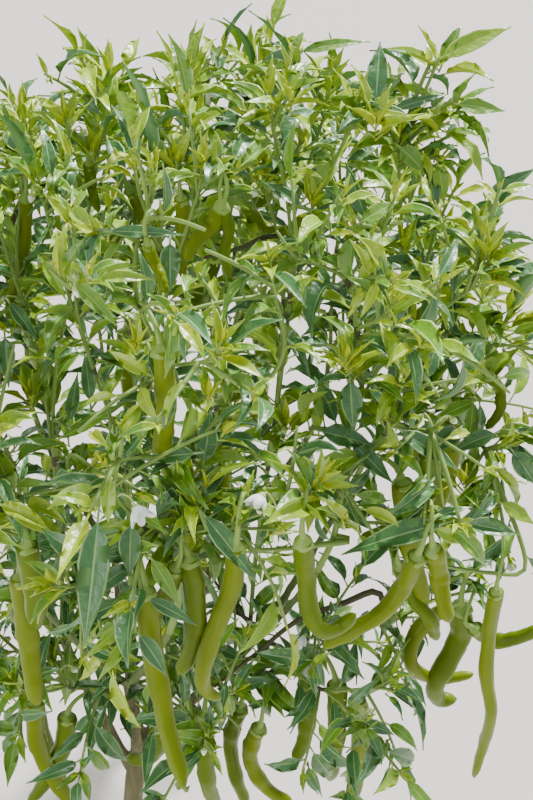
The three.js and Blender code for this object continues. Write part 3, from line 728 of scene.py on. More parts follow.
shownPods = [  # where the stalk starts, how wide the pod looks, and its line
    ((243, 514), 22, ((236, 545), (231, 585), (214, 630), (204, 662), (205, 688), (220, 697))),
    ((308, 508), 21, ((303, 540), (306, 578), (310, 612), (322, 631), (338, 627), (354, 614))),
    ((438, 528), 21, ((417, 556), (402, 588), (382, 612), (352, 630), (324, 645))),
    ((396, 540), 18, ((400, 566), (408, 588), (420, 606), (430, 618), (436, 640))),
    ((466, 578), 16, ((450, 607), (428, 619), (412, 642), (413, 664), (436, 678), (474, 674))),
    ((472, 572), 23, ((461, 606), (461, 632), (448, 660), (436, 684), (440, 699), (456, 699))),
    ((430, 520), 20, ((433, 548), (437, 575), (441, 600), (447, 622))),
    ((476, 598), 16, ((474, 628), (494, 640), (516, 638), (540, 628))),
    ((506, 560), 16, ((496, 592), (491, 630), (488, 675), (493, 710), (486, 744), (475, 778))),
    ((250, 678), 18, ((240, 708), (232, 738), (237, 772), (248, 800))),
    ((270, 698), 18, ((259, 728), (250, 756), (264, 784), (292, 802))),
    ((252, 186), 16, ((246, 206), (262, 226), (284, 231), (303, 212))),
    ((216, 180), 17, ((222, 204), (214, 226), (196, 240), (186, 262))),
    ((126, 160), 17, ((130, 190), (143, 216), (152, 240), (166, 262))),
    ((182, 540), 18, ((176, 568), (163, 600), (152, 632), (156, 655))),
    ((176, 176), 15, ((181, 198), (184, 222), (182, 248), (187, 278))),
    ((230, 184), 14, ((223, 206), (229, 232), (224, 256), (230, 278))),
    ((142, 156), 13, ((138, 176), (133, 196), (138, 222), (147, 240))),
    ((30, 174), 14, ((26, 196), (25, 230), (19, 266), (8, 304))),
    ((154, 226), 13, ((148, 243), (153, 262), (163, 284), (166, 296))),
    ((98, 146), 12, ((89, 164), (91, 188), (98, 214))),
    ((474, 350), 12, ((488, 374), (500, 392), (500, 412), (487, 430))),
]
shownFlowers = [((130, 492), (136, 508)), ((268, 482), (262, 496)), ((300, 430), (306, 446))]
shownTwigs = [  # the radius in millimetres, the finish and the line
    (2.4, 0, ((350, 540), (318, 545), (282, 549), (250, 550))),
    (2.0, 0, ((524, 571), (492, 573), (455, 568), (420, 560))),
    (2.5, 1, ((378, 592), (344, 603), (297, 621), (258, 652), (214, 687))),
    (1.6, 1, ((250, 620), (232, 606), (214, 580))),
    (1.6, 0, ((70, 455), (96, 470), (118, 478), (140, 492))),
    (1.7, 1, ((262, 238), (246, 246), (226, 252), (204, 258))),
]
shownLeaves = [  # where the blade starts and ends, how wide it looks, its tint, and where its twig is if not there
    ((322, 432), (376, 448), 23, "deep"), ((352, 443), (394, 485), 20, "deep"), ((402, 432), (458, 474), 21, "deep"),
    ((494, 434), (450, 451), 18, "deep"), ((472, 403), (432, 421), 15, "grown"), ((350, 382), (353, 431), 23, "deep"),
    ((440, 525), (340, 552), 27, "deep"), ((205, 517), (258, 586), 22, "deep"), ((513, 452), (536, 486), 22, "deep"),
    ((502, 504), (536, 524), 16, "fresh"), ((432, 519), (471, 505), 13, "deep"), ((340, 505), (373, 532), 14, "deep"),
    ((76, 284), (118, 328), 17, "grown"), ((43, 262), (68, 300), 14, "fresh"), ((5, 338), (9, 388), 18, "deep"),
    ((90, 400), (85, 350), 15, "deep"), ((70, 420), (78, 372), 14, "deep"), ((194, 454), (141, 461), 20, "deep"),
    ((204, 461), (213, 410), 23, "deep"), ((62, 438), (132, 401), 14, "grown"), ((150, 350), (165, 393), 14, "deep"),
    ((10, 304), (38, 341), 14, "deep"), ((443, 58), (511, 24), 20, "fresh"), ((376, 99), (380, 41), 23, "deep"),
    ((303, 52), (370, 38), 13, "grown"), ((459, 105), (505, 114), 17, "grown"), ((393, 110), (450, 96), 12, "deep"),
    ((400, 148), (426, 172), 20, "grown"), ((438, 166), (446, 204), 17, "fresh"), ((505, 191), (536, 184), 12, "fresh"),
    ((362, 222), (398, 200), 17, "grown"), ((98, 522), (88, 648), 33, "deep"), ((131, 526), (129, 577), 24, "deep"),
    ((150, 600), (197, 625), 15, "deep", (133, 539)), ((70, 650), (68, 706), 21, "grown"),
    ((140, 636), (168, 676), 19, "deep", (133, 539)), ((152, 560), (180, 606), 17, "grown", (133, 539)),
    ((112, 232), (186, 236), 14, "deep"), ((170, 244), (170, 292), 22, "deep"), ((300, 205), (262, 180), 14, "deep"),
]
shownShoots = [(208, 394), (452, 98), (376, 118), (312, 202), (136, 344), (68, 436), (286, 424), (464, 482), (346, 358),
               (30, 396), (440, 56), (290, 92), (176, 160), (404, 246), (92, 150), (488, 250)]
shownPlan = {
    "podGap": 0.5, "leafGap": 0.45,  # shares of the width; the other gaps are in pixels
    "shootGap": 17.0, "twigGap": 4.5, "flowerGap": 9.0,
    "bearerRadii": (1.6, 1.0), "arch": 0.16, "leaves": 5, "leavesAt": (0.3, 0.98), "endLeaves": 5, "endSize": 0.7,
    "spread": 8, "depthWeight": 0.12, "inFront": 7, "pedicel": 24.0, "podWind": 4, "flowerFront": 8, "twigEnd": 1.0,
    "farLeaf": 16.0, "stalkRadius": 0.7, "shootRadii": (1.3, 0.8), "shootFront": 9, "shootSize": 1.05, "facing": 0.35,
    "length": sprayPlan["length"], "incline": sprayPlan["incline"], "bend": (0.7, 1.5), "leafBend": (0.25, 0.5),
    "fold": (0.15, 0.4), "ruffle": (0.08, 0.2), "waves": (1.3, 2.4), "phase": (0, 6.28), "sway": (-0.05, 0.05),
    "twist": (-0.25, 0.25),
}
pitch = math.radians(camera["pitch"])
eyeAxes = np.array([[1, 0, 0], [0, math.sin(pitch), math.cos(pitch)], [0, math.cos(pitch), -math.sin(pitch)]])
eyePlace = np.array(camera["place"]) / mm
pixels = camera["lens"] / 36 * 800  # the lens, in pixels of the picture
centre = np.array([266.5, 400])  # its middle


def inPicture(points):  # right, down and the distance ahead
    right, up, ahead = ((np.atleast_2d(points) - eyePlace) @ eyeAxes.T).T
    return np.stack([centre[0] + pixels * right / ahead, centre[1] - pixels * up / ahead, ahead], 1)


def fromPicture(place, ahead):
    return eyePlace + np.array([(place[0] - centre[0]) / pixels, (centre[1] - place[1]) / pixels, 1]) * ahead @ eyeAxes


def plumbBelow(first, place):  # the point seen at a place in the picture, as far back as the first one
    sight = fromPicture(place, 1) - eyePlace
    return eyePlace + sight * (first[1] - eyePlace[1]) / sight[1]


def inView(points, gap):  # where they stand in the picture, and how close to each no leaf may hide them
    return np.column_stack([inPicture(points), np.full(len(points), gap)])


twigSpots = [(spot, mass.bough) for mass in masses for stem in mass.stems
             for spot in stem.path.spacedPoints(math.ceil(stem.path.length / 4))[2:]]
twigPlaces = inPicture([spot for spot, bough in twigSpots])


def twigBehind(stalk):  # the twig to grow from: close to the place in the picture, and near the camera
    away = np.hypot(twigPlaces[:, 0] - stalk[0], twigPlaces[:, 1] - stalk[1])
    chosen = int(np.argmin(np.maximum(away, shownPlan["spread"]) + twigPlaces[:, 2] * shownPlan["depthWeight"]))
    return *twigSpots[chosen], twigPlaces[chosen, 2] - shownPlan["inFront"]


def growBearer(root, end, bough):  # a leafy side twig that reaches out to a shown pod or leaf
    reachOut = end - root
    bend = lerp(root, end, 0.5) + skyward * (shownPlan["arch"] * norm(reachOut))
    path = bowPath(root, bend, end + unit(reachOut) * 2)
    addTwig(bough, path.spacedPoints(8), np.linspace(*shownPlan["bearerRadii"], 9))
    bearers.append(Item(path=path, bough=bough))


guarded, bearers = [], []
for stalk, wide, places in shownPods:
    root, bough, ahead = twigBehind(stalk)
    first = fromPicture(places[0], ahead)
    line = [plumbBelow(first + [0, shownPlan["podWind"] * math.sin(i * 1.7), 0], place)
            for i, place in enumerate(places)]
    radius = wide / 2 * ahead / pixels
    top = fromPicture(stalk, ahead)
    top = line[0] + (top - line[0]) * min(1.6, shownPlan["pedicel"] / norm(top - line[0]))
    growBearer(root, top, bough)
    boughKit[bough].pods.append(Item(root=top, line=line, radius=radius))
    fine = smoothPath(line).spacedPoints(24)
    guarded.append(inView(fine, shownPlan["podGap"] * wide))
    podRooms.append(room(fine, [radius + 0.6] * len(fine)))
for stalk, place in shownFlowers:
    root, bough, ahead = twigBehind(stalk)
    place = fromPicture(place, ahead - shownPlan["flowerFront"])
    boughKit[bough].flowers.append(Item(root=root, place=place, open=True))
    guarded.append(inView([place], shownPlan["flowerGap"]))
    podRooms.append(room([place], [8.0]))
for thick, finish, places in shownTwigs:
    root, bough, ahead = twigBehind(places[0])
    path = smoothPath([root] + [fromPicture(place, ahead + 4) for place in places])
    addTwig(bough, path.spacedPoints(24), np.linspace(thick, shownPlan["twigEnd"], 25), finish)
    bearers.append(Item(path=path, bough=bough))
    guarded.append(inView(path.spacedPoints(24)[4:], shownPlan["twigGap"]))
for base, tip, wide, tint, *stem in shownLeaves:
    root, bough, ahead = twigBehind(stem[0] if stem else base)
    start, end = fromPicture(base, ahead - 5), fromPicture(tip, ahead - 1)
    aim = unit(end - start)
    length = float(norm(end - start)) / (1 - leafLook["petiole"])
    start = start - aim * leafLook["petiole"] * length
    leaf = leafOn(start, aim, unit(eyePlace - start) + skyward * 0.6)
    bend = within(*shownPlan["leafBend"])
    vars(leaf).update(length=length, width=wide * ahead / pixels, bend=bend, lift=-bend / 2.35, tint=tint,
                      paleBase=False)
    boughKit[bough].leaves.append(shapeLeaf(leaf, shownPlan))
    if norm(start - root) > shownPlan["farLeaf"]:
        growBearer(root, start, bough)
    else:
        stalk = bowPath(root, lerp(root, start, 0.5) + skyward * 2, start).spacedPoints(6)
        addTwig(bough, stalk, np.full(7, shownPlan["stalkRadius"]))
    leafMiddles[bough] = np.concatenate([leafMiddles[bough], [lerp(start, end, 0.5), lerp(start, end, 0.75)]])
    guarded.append(inView([lerp(start, end, along) for along in np.linspace(0.2, 1, 12)], shownPlan["leafGap"] * wide))
guarded = np.concatenate(guarded)
print("placed by the picture:", len(shownPods), "pods,", len(shownLeaves), "leaves,", len(shownTwigs), "twigs")


openPlaces = np.array([  # gaps between the leaves in the picture: right, down and radius
    (420, 317, 18), (490, 300, 24), (522, 300, 20), (486, 384, 20), (468, 420, 24), (520, 412, 24), (520, 142, 28),
    (514, 216, 24), (410, 80, 17), (496, 82, 17), (40, 310, 18), (105, 345, 11), (200, 368, 13), (148, 320, 11),
    (240, 80, 15), (26, 84, 30), (120, 66, 16), (330, 690, 30), (384, 716, 26), (290, 752, 30), (190, 700, 30),
    (504, 640, 30), (530, 700, 40), (180, 640, 16), (255, 590, 14),
])
openShare = 0.3  # of the leaves there stay


def inOpening(spot):
    seen = inPicture(spot)[0]
    return (np.hypot(openPlaces[:, 0] - seen[0], openPlaces[:, 1] - seen[1]) < openPlaces[:, 2]).any()


def leafLine(leaf, shares):
    bend = leaf.bend if abs(leaf.bend) > 0.05 else 0.05
    angles = bend * np.array(shares)
    return (leaf.root + leaf.aim * (leaf.length * np.sin(angles) / bend)[:, None]
            - leaf.normal * (leaf.length * (1 - np.cos(angles)) / bend)[:, None])


def hidesShown(leaf):
    line = leafLine(leaf, roomPlan["sightPlaces"])
    sides = leaf.across * (leaf.width * roomPlan["side"])
    right, down, ahead = inPicture(np.concatenate([line, line[:5] + sides, line[:5] - sides])).T[:, :, None]
    near = np.hypot(right - guarded[:, 0], down - guarded[:, 1])
    return ((near < guarded[:, 3]) & (ahead < guarded[:, 2])).any()


def keepLeaf(leaf, bough, apart):  # only where there is room, and where it hides nothing that the picture shows
    middle = leafLine(leaf, roomPlan["places"])
    if (middle < boxLow - roomPlan["beyond"]).any() or (middle > boxHigh + roomPlan["beyond"]).any():
        return False
    sides = leaf.across * (leaf.width * roomPlan["side"])
    spots = np.concatenate([middle, middle[:2] + sides, middle[:2] - sides])
    if spots[:, 2].min() < roomPlan["lowest"] or not clearOf([limbRoom, *podRooms], spots, roomPlan["gap"]):
        return False
    atRim = (middle[2] < boxLow + roomPlan["rim"]).any() or (middle[2] > boxHigh - roomPlan["rim"]).any()
    if not atRim and hidesShown(leaf):
        return False
    if inOpening(spots[0]) and within(0, 1) > openShare:
        return False
    for taken in leafMiddles.values():
        if len(taken) and (np.abs(middle[:2, None] - taken[None]).sum(axis=2) < apart).any():
            return False
    boughKit[bough].leaves.append(leaf)
    leafMiddles[bough] = np.concatenate([leafMiddles[bough], middle[:2]])
    return True


def tryLeaf(bough, root, direction, turn, incline, length, bend, tint, slimness=None, attempts=5,
            apart=roomPlan["apart"]):
    for attempt in range(attempts):
        leaf = turnedLeaf(root, direction, turn + attempt * roomPlan["turnOn"], math.radians(incline))
        if keepLeaf(oneLeaf(leaf, length, bend, tint, slimness), bough, apart):
            return


# darker tints low down, as painted shade
def tintAt(place):
    return random.choice(tintPlan["high" if place[2] > tintPlan["paintedShadeBelow"] else "low"])


def tintNear(tint):
    return tints[int(np.clip(tints.index(tint) + random.integers(-1, 2), 0, tints.index("young")))]


def sideLeaf(bough, place, direction, turn, plan, base=None):  # tinted like its spray, or else by its height, darker low down as painted shade
    incline, length, bend = (within(*plan[key]) for key in ("incline", "length", "bend"))
    tryLeaf(bough, place, direction, turn, incline, length, bend, tintNear(base) if base else tintAt(place))


def growSpray(big, bough):
    plan = sprayPlan["tip" if big.atTip else "along"]
    short = big.length < sprayPlan["shortBelow"]
    share = sprayPlan["shortTwig"] if short else plan["twig"]
    line = np.array([leafPoint(big, along, 0, 0) for along in np.linspace(0, share, 6)])
    direction = unit(line[-1] - line[-2])
    addTwig(bough, line, np.linspace(*sprayPlan["radii"], 6))
    base = tintAt(line[-1])
    turn = anyTurn()
    for i, along in enumerate(plan["side"][:1] if short else plan["side"]):
        sideLeaf(bough, leafPoint(big, along * share, 0, 0), direction, turn + i * math.pi, sprayPlan, base)
    reachLeft = min(big.length * (1 - share), sprayPlan["longest"])
    bend = big.bend * (1 - share) + within(*sprayPlan["endBend"])
    last = oneLeaf(leafOn(line[-1], direction, big.normal + direction * 0.3), reachLeft, bend, tintNear(base))
    last.width *= reachLeft / last.length
    last.length = reachLeft  # reaches as far as the big leaf that the spray stands for
    keepLeaf(last, bough, roomPlan["apartEnd"])
    rosette(bough, line[-1], unit(direction + skyward * 0.7), plan["young"], sprayPlan["youngSize"])


def rosette(bough, root, direction, count, size):
    turn = anyTurn()
    # low rosettes are smaller, and take darker tints as painted shade
    low = root[2] < tintPlan["paintedShadeBelow"]
    size *= tintPlan["lowSize"] if low else 1
    for i in range(count):
        share = i / max(1, count - 1)
        length = lerp(*rosettePlan["lengths"], share) * size * within(*rosettePlan["vary"])
        tint = tintPlan["shadedShoot" if low else "highShoot"][min(4, int(share * 5))]
        incline = lerp(*rosettePlan["inclines"], share) * within(*rosettePlan["vary"])
        place = root + direction * rosettePlan["rise"] * size * lerp(-rosettePlan["spread"], 0, share)
        tryLeaf(bough, place, direction, turn + i * goldenAngle, incline, length, lerp(*rosettePlan["bends"], share),
                tintNear(tint) if share < rosettePlan["mixed"] else tint, lerp(*rosettePlan["slimness"], share),
                rosettePlan["attempts"], roomPlan["apartYoung"])


def growShoot(tip, bough):
    direction = unit(tip.direction + skyward * rosettePlan["upward"])
    top = tip.point + direction * rosettePlan["rise"]
    line = np.array([tip.point - tip.direction * 2, tip.point + direction * 4, top])
    addTwig(bough, line, np.array(shootPlan["radii"]))
    rosette(bough, top, direction, rosettePlan["leaves"] + int(random.integers(-1, 2)), 1.0)
    for i in range(int(random.integers(0, 3))):
        bearing = anyTurn()
        size = within(*shootPlan["flowerAway"])
        away = np.array([math.cos(bearing), math.sin(bearing), within(*shootPlan["flowerRise"])]) * size
        root = tip.point + direction * 3
        boughKit[bough].flowers.append(Item(root=root, place=root + away, open=within(0, 1) < shootPlan["openShare"]))


def growStemLeaves(stem, bough):
    count = int(stem.path.length / stemLeaves["spacing"])
    turn = anyTurn()
    for i in range(1, count):
        along = i / count
        if lerp(stem.startRadius, twig["tipRadius"], along) < stemLeaves["thickest"]:
            sideLeaf(bough, stem.path.pointAt(along), stem.path.tangentAt(along), turn + i * goldenAngle, stemLeaves)


shootSpots = []
for place in shownShoots:
    root, bough, ahead = twigBehind(place)
    top = fromPicture(place, ahead - shownPlan["shootFront"])
    upward = unit(skyward + unit(eyePlace - top) * shownPlan["facing"])
    stalk = bowPath(root, lerp(root, top, 0.6) - skyward * 2, top).spacedPoints(8)
    addTwig(bough, stalk, np.linspace(*shownPlan["shootRadii"], 9))
    rosette(bough, top, upward, rosettePlan["leaves"], shownPlan["shootSize"])
    shootSpots += [top + upward * 9, top]
guarded = np.concatenate([guarded, inView(shootSpots, shownPlan["shootGap"])])
for bearer in bearers:  # leaves along it, and a young shoot at its end
    turn = anyTurn()
    for i in range(shownPlan["leaves"]):
        along = lerp(*shownPlan["leavesAt"], i / (shownPlan["leaves"] - 1))
        sideLeaf(bearer.bough, bearer.path.pointAt(along), bearer.path.tangentAt(along), turn + i * goldenAngle,
                 shownPlan)
    rosette(bearer.bough, bearer.path.pointAt(1), unit(bearer.path.tangentAt(1) + skyward), shownPlan["endLeaves"],
            shownPlan["endSize"])
for mass in masses:
    for big in mass.bigLeaves:
        growSpray(big, mass.bough)
for tip in stemTips:
    growShoot(tip, tip.mass.bough)
for mass in masses:
    for stem in mass.stems:
        growStemLeaves(stem, mass.bough)
print("leaves:", sum(len(kit.leaves) for kit in boughKit.values()))


# Finishes

def linear(colour):  # from the 0 to 255 values of a picture
    shares = [value / 255 for value in colour]
    return [share / 12.92 if share < 0.04045 else ((share + 0.055) / 1.055) ** 2.4 for share in shares]


def finishOf(name, colour, second, roughness, noiseScale=90.0, bump=0.15, bumpScale=500.0, gloss=0.4,
             grainWay=(1, 1, 1), depth=0.0006):
    finish = bpy.data.materials.new(name)
    finish.use_nodes = True
    nodes, link = finish.node_tree.nodes, finish.node_tree.links.new

    def add(kind, **values):
        node = nodes.new("ShaderNode" + kind)
        for key, value in values.items():
            node.inputs[key].default_value = value
        return node

    shader = nodes["Principled BSDF"]
    shader.inputs["Roughness"].default_value = roughness
    shader.inputs["Specular IOR Level"].default_value = gloss
    grained = add("Mapping", Scale=grainWay)
    mottle = add("TexNoise", Scale=noiseScale, Detail=3)
    grain = add("TexNoise", Scale=bumpScale)
    relief = add("Bump", Strength=bump, Distance=depth)
    blend = add("Mix")
    blend.data_type = "RGBA"
    blend.inputs[6].default_value = (*linear(colour), 1)
    blend.inputs[7].default_value = (*linear(second), 1)
    link(add("TexCoord").outputs["Object"], grained.inputs["Vector"])
    link(grained.outputs["Vector"], mottle.inputs["Vector"])
    link(grained.outputs["Vector"], grain.inputs["Vector"])
    link(mottle.outputs["Fac"], blend.inputs[0])
    link(blend.outputs[2], shader.inputs["Base Color"])
    link(grain.outputs["Fac"], relief.inputs["Height"])
    link(relief.outputs["Normal"], shader.inputs["Normal"])
    return finish


leafColours = {
    "deep": ((50, 100, 50), (78, 130, 60)), "grown": ((88, 140, 22), (112, 156, 26)),
    "fresh": ((122, 164, 4), (140, 176, 8)), "young": ((150, 180, 0), (164, 190, 0)),
    "tender": ((170, 188, 0), (182, 196, 0)),
}
leafFinishes = []
for tint in tints:
    first, second = leafColours[tint]
    ribAndGlint = [value * 0.5 + other for value, other in zip(second, (102, 108, 80))]  # half way to a pale green: the rib's own colour, and a painted highlight on the rims
    under = [value * 0.8 + other for value, other in zip(second, (32, 34, 26))]
    leafFinishes += [finishOf(tint + "Blade", first, second, 0.36, 160, 0.8, 170, gloss=0.8, depth=0.0015),
                     finishOf(tint + "RibAndRimGlint", ribAndGlint, ribAndGlint, 0.45), finishOf(tint + "Underside", under, under, 0.55)]

pattern = modelLeaf()
boughPieces("leaves", lambda bough, kit: [layLeaves(kit.leaves, pattern)], leafFinishes)


# Twigs with dark swollen nodes

twigLook = {"sides": 8, "spacing": 4.0, "swell": 0.4, "swellReach": 3.4, "slender": 0.74}
twigFinishes = [finishOf("greenTwig", (116, 146, 62), (134, 160, 80), 0.5),
                finishOf("darkNode", (72, 64, 46), (92, 90, 54), 0.55)]


def twigTube(stem):
    count = max(4, math.ceil(stem.path.length / twigLook["spacing"]))
    points = stem.path.spacedPoints(count)
    knots = np.array([fork.point for fork in stem.forks] or [stem.points[0] + 1e4])
    away = norm(points[:, None] - knots[None], axis=2).min(axis=1)
    radii = lerp(stem.startRadius, twig["tipRadius"], np.linspace(0, 1, count + 1))
    radii = radii * twigLook["slender"] * (1 + twigLook["swell"] * np.exp(-(away / twigLook["swellReach"]) ** 2))
    dark = (away[1:] < twigLook["swellReach"] * 0.9).astype(int)
    return sweptTube(points, radii, twigLook["sides"], dark)


def twigTubes(bough, kit):
    return ([twigTube(stem) for mass in masses if mass.bough == bough for stem in mass.stems]
            + [sweptTube(line.points, line.radii, 6, line.finish) for line in kit.twigs])


boughPieces("twigs", twigTubes, twigFinishes)


# Pods on arched stalks, each under a small lobed cap

podLook = {"sides": 16, "radius": 6.3, "nearFrom": 680.0, "nearSize": 0.74, "stalkShare": 0.26, "leastStalk": 0.95,
           "archRise": 18, "wander": 0.35, "taper": 0.34, "bulges": (0.05, 0.035), "ridges": (0.06, 0.035),
           "wrinkles": 0.1}
podCap = {"places": (-3.4, -1.8, -0.6, 0.6, 1.8, 2.9, 3.1), "radii": (0.3, 0.44, 0.7, 0.92, 1.0, 1.02, 0.84),
          "lobes": (0, 0, 0, 0.02, 0.05, 0.1, 0.08), "slots": (2, 2, 2, 2, 2, 3)}
# The first two pod finishes are lit and shaded copies of one pod green: painted light and painted shade
podFinishes = [finishOf("podPaintedLit", (120, 134, 0), (94, 114, 0), 0.36, 60, 0.12, 260, gloss=0.2),
               finishOf("podPaintedShade", (76, 100, 0), (102, 122, 0), 0.36, 60, 0.12, 260, gloss=0.2),
               finishOf("podStalk", (118, 152, 60), (142, 168, 78), 0.45),
               finishOf("podCapRim", (120, 122, 52), (96, 104, 44), 0.6)]


def podPath(pod):  # its whole line, and the share of it at which the stalk ends
    if hasattr(pod, "line"):
        first, second = pod.line[0], pod.line[1]
        back = first - unit(second - first) * 9
        lift = skyward * min(podLook["archRise"], 0.4 * norm(first - pod.root))
        stalk = [pod.root, lerp(pod.root, back, 0.35) + lift, lerp(pod.root, back, 0.75) + lift, back]
        path = smoothPath(stalk + list(pod.line))
        spots = path.spacedPoints(200)
        return path, float(np.argmin(norm(spots - first, axis=1))) / 200
    return smoothPath(list(fruitLine(pod, 24))), fruitPlan["pedicel"] / (fruitPlan["pedicel"] + pod.length)


def podParts(pod, seed):
    path, stalkShare = podPath(pod)
    length = path.length * (1 - stalkShare)
    radius = getattr(pod, "radius", podLook["radius"] * sizeAt(pod.root, podLook))
    steps = np.linspace(0, 1, 14)
    stalkPoints = np.array([path.pointAt(along) for along in steps * (stalkShare + 0.004)])
    stalkRadius = max(podLook["leastStalk"], podLook["stalkShare"] * radius)
    stalk = sweptTube(stalkPoints, stalkRadius * (0.85 + 1.0 * steps ** 5), 8, 2)
    shares = np.concatenate([np.linspace(0, 0.9, 28), 0.9 + 0.1 * np.sin(np.linspace(0, math.pi / 2, 7))[1:]])
    wander = random.normal(0, 0.5, (len(shares), 3)).cumsum(axis=0) * podLook["wander"]
    points = np.array([path.pointAt(stalkShare + (1 - stalkShare) * share) for share in shares])
    points += wander * np.minimum(1, shares * 8)[:, None]
    angles = around(podLook["sides"])
    body = np.minimum(1, 0.88 + shares * 2.4) * (1 - podLook["taper"] * np.clip((shares - 0.25) / 0.75, 0, 1) ** 1.5)
    broad, fine = podLook["bulges"]
    body *= 1 + broad * np.sin(shares * 17 + seed) + fine * np.sin(shares * 31 + seed * 2)
    body *= np.where(shares > 0.9, np.sqrt(np.clip(1 - ((shares - 0.9) / 0.1015) ** 2, 0, 1)), 1)  # the rounded end
    broad, fine = podLook["ridges"]
    ridges = 1 + broad * np.cos(2 * angles[None] + seed + 3 * shares[:, None]) + fine * np.cos(3 * angles[None] + seed)
    wrinkles = np.array([[noise.noise(Vector((math.cos(angle) * 1.3, math.sin(angle) * 1.3,
                                              share * length * 0.16 + seed))) for angle in angles] for share in shares])
    radii = radius * body[:, None] * (ridges + podLook["wrinkles"] * wrinkles)
    # pods take the painted-lit and painted-shade finishes by turns
    skin = sweptTube(points, np.maximum(radii, 0.15), podLook["sides"], seed % 2)
    capPoints = np.array([path.pointAt(stalkShare + place / path.length) for place in podCap["places"]])
    lobes = np.array(podCap["lobes"])[:, None] * np.cos(5 * angles)[None]
    cap = sweptTube(capPoints, radius * (np.array(podCap["radii"])[:, None] + lobes), podLook["sides"], podCap["slots"])
    return [stalk, skin, cap]


def boughPods(bough, kit):
    pods = [pod for mass in masses if mass.bough == bough for pod in mass.fruits] + kit.pods
    return [part for i, pod in enumerate(pods) for part in podParts(pod, i)]


boughPieces("pods", boughPods, podFinishes)


# Flowers: white five-pointed stars that nod on thin stalks, and pale buds

flowerLook = {"corners": 30, "rings": 0.35, "petal": 6.2, "middle": 4.1, "throat": 1.7, "notch": 0.55, "sheet": 0.35,
              "stalk": 0.55, "nod": 12, "arch": 4, "stalkEnd": 1.5}
flowerTubes = {  # where each ring stands along the flower, the rings' radii, the sides and the finish
    "bud": (np.linspace(-2, 4, 7), (0.6, 1.4, 1.9, 2.0, 1.7, 1.1, 0.3), 9, (1, 1, 1, 0, 0, 0)),
    "cup": ((-1.8, -0.9, 0.0, 0.5), (0.7, 1.9, 2.3, 1.4), 10, 1),
    "anthers": ((0.0, 1.5, 3.2, 4.0), (0.9, 1.2, 1.0, 0.4), 8, 2),
}
flowerFinishes = [finishOf("petal", (250, 250, 246), (240, 242, 232), 0.5),
                  finishOf("bud", (176, 196, 110), (196, 208, 140), 0.5),
                  finishOf("anther", (96, 100, 112), (120, 118, 120), 0.6)]


def modelFlower():
    bpy.ops.mesh.primitive_circle_add(vertices=flowerLook["corners"], radius=1, fill_type="NGON", location=(0, 0, 0))
    bloom = bpy.context.object
    bpy.ops.object.mode_set(mode="EDIT")
    bpy.ops.mesh.select_all(action="SELECT")
    for ring in range(2):
        bpy.ops.mesh.inset(thickness=flowerLook["rings"])
    bpy.ops.object.mode_set(mode="OBJECT")
    for corner in bloom.data.vertices:
        angle, far = math.atan2(corner.co.y, corner.co.x), math.hypot(corner.co.x, corner.co.y)
        point = abs(math.cos(2.5 * angle))
        if far > 0.9:
            size, rise = flowerLook["petal"] * (1 - flowerLook["notch"] * (1 - point ** 0.8)), 4.0 + 3.6 * point
        elif far > 0.5:
            size, rise = flowerLook["middle"] * (1 - 0.12 * (1 - point)), 2.6
        else:
            size, rise = flowerLook["throat"], 0.0
        corner.co = (size * math.cos(angle), size * math.sin(angle), rise)
    sheet = bloom.modifiers.new("sheet", "SOLIDIFY")
    sheet.thickness = flowerLook["sheet"]
    bpy.ops.object.modifier_apply(modifier="sheet")
    return takePattern(bloom)


def flowerParts(flower, bloom):
    facing = unit((flower.place - flower.root) * np.array([1, 1, 0.3]) - skyward * flowerLook["nod"])
    lift = skyward * flowerLook["arch"]
    arch = [flower.root, lerp(flower.root, flower.place, 0.35) + lift, lerp(flower.root, flower.place, 0.8) + lift,
            flower.place - facing * flowerLook["stalkEnd"]]

    def tube(kind):
        places, radii, sides, slots = flowerTubes[kind]
        return sweptTube(flower.place + facing * np.array(places)[:, None], radii, sides, slots)

    stalk = sweptTube(smoothPath(arch).spacedPoints(8), np.full(9, flowerLook["stalk"]), 6, 1)
    if not flower.open:
        return [stalk, tube("bud")]
    side = unit(np.cross(facing, [0.3, 0.5, 0.8]))
    axes = np.array([side, np.cross(facing, side), facing])
    return [stalk, placed(bloom, flower.place, axes), tube("cup"), tube("anthers")]


bloom = modelFlower()
boughPieces("flowers", lambda bough, kit: [part for flower in kit.flowers for part in flowerParts(flower, bloom)],
            flowerFinishes)
print("flowers and buds:", sum(len(kit.flowers) for kit in boughKit.values()))


# Woody stem and boughs under ridged bark, and the green limbs that grow on from them

barkLook = {"sides": 24, "voxel": 0.9, "soften": 3, "ridge": 0.7, "ridgeFrom": 1.5, "grain": (0.24, 0.24, 0.03),
            "slender": {"bough": (1.0, 0.86), "limb": (0.86, 0.8)}}
barkFinish = finishOf("bark", (72, 70, 46), (136, 130, 94), 0.8, 34, 1.0, 90, 0.2, (7, 7, 0.9), 0.0016)
limbFinish = finishOf("greenLimb", (74, 92, 46), (122, 138, 84), 0.65, 40, 0.8, 120, 0.3, (5, 5, 0.8), 0.001)


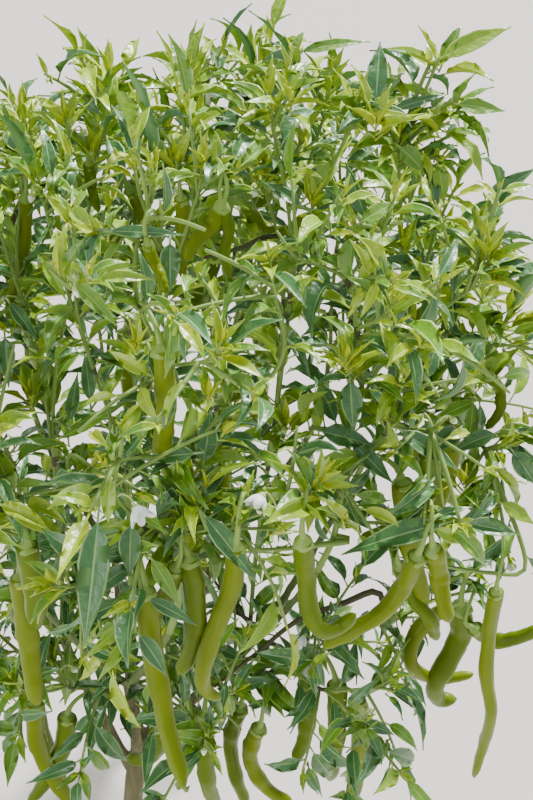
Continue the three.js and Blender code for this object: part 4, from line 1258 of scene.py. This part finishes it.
def limbTube(limb):
    count = math.ceil(limb.path.length / 3)
    points = limb.path.spacedPoints(count)
    along = np.linspace(0, 1, count + 1)
    radii = lerp(limb.startRadius, limb.endRadius, along)[:, None] * np.ones(barkLook["sides"])
    if limb.kind == "mainStem":
        fade = np.exp(-along * mainStem["forkHeight"] / mainStem["flareHeight"])[:, None]
        ribs = 1 + mainStem["ribDepth"] * fade * np.cos(mainStem["ribs"] * around(barkLook["sides"]))[None]
        radii = (radii + mainStem["flare"] * fade) * ribs
        points[0, 2] = 0
    else:
        radii *= lerp(*barkLook["slender"][limb.kind], along)[:, None]
    return sweptTube(points, radii, barkLook["sides"])


def barkMesh(name, chosen, finish):
    piece = joinedMesh(name, [limbTube(limb) for limb in chosen], [finish])
    bpy.context.view_layer.objects.active = piece
    fuse = piece.modifiers.new("fuse", "REMESH")
    fuse.mode = "VOXEL"
    fuse.voxel_size = barkLook["voxel"] * mm
    fuse.use_smooth_shade = True
    bpy.ops.object.modifier_apply(modifier="fuse")
    soften = piece.modifiers.new("soften", "SMOOTH")
    soften.iterations = barkLook["soften"]
    bpy.ops.object.modifier_apply(modifier="soften")
    count = len(piece.data.vertices)
    corners, normals = np.empty(count * 3), np.empty(count * 3)
    piece.data.vertices.foreach_get("co", corners)
    piece.data.vertices.foreach_get("normal", normals)
    corners, normals = corners.reshape(-1, 3) / mm, normals.reshape(-1, 3)
    relief = np.array([noise.noise(Vector(spot)) for spot in corners * np.array(barkLook["grain"])])
    relief *= barkLook["ridge"] * (corners[:, 2] > barkLook["ridgeFrom"])
    corners = corners + normals * relief[:, None]
    corners[:, 2] = np.maximum(0, corners[:, 2])
    piece.data.vertices.foreach_set("co", (corners * mm).ravel())
    piece.data.update()
    keepPiece(piece, [limb.name for limb in chosen])


barkMesh("woodyStem", [limb for limb in limbs if limb.kind != "limb"], barkFinish)
barkMesh("greenLimbs", [limb for limb in limbs if limb.kind == "limb"], limbFinish)

setCamera()
setLight()
makeFloor()
bpy.context.view_layer.update()
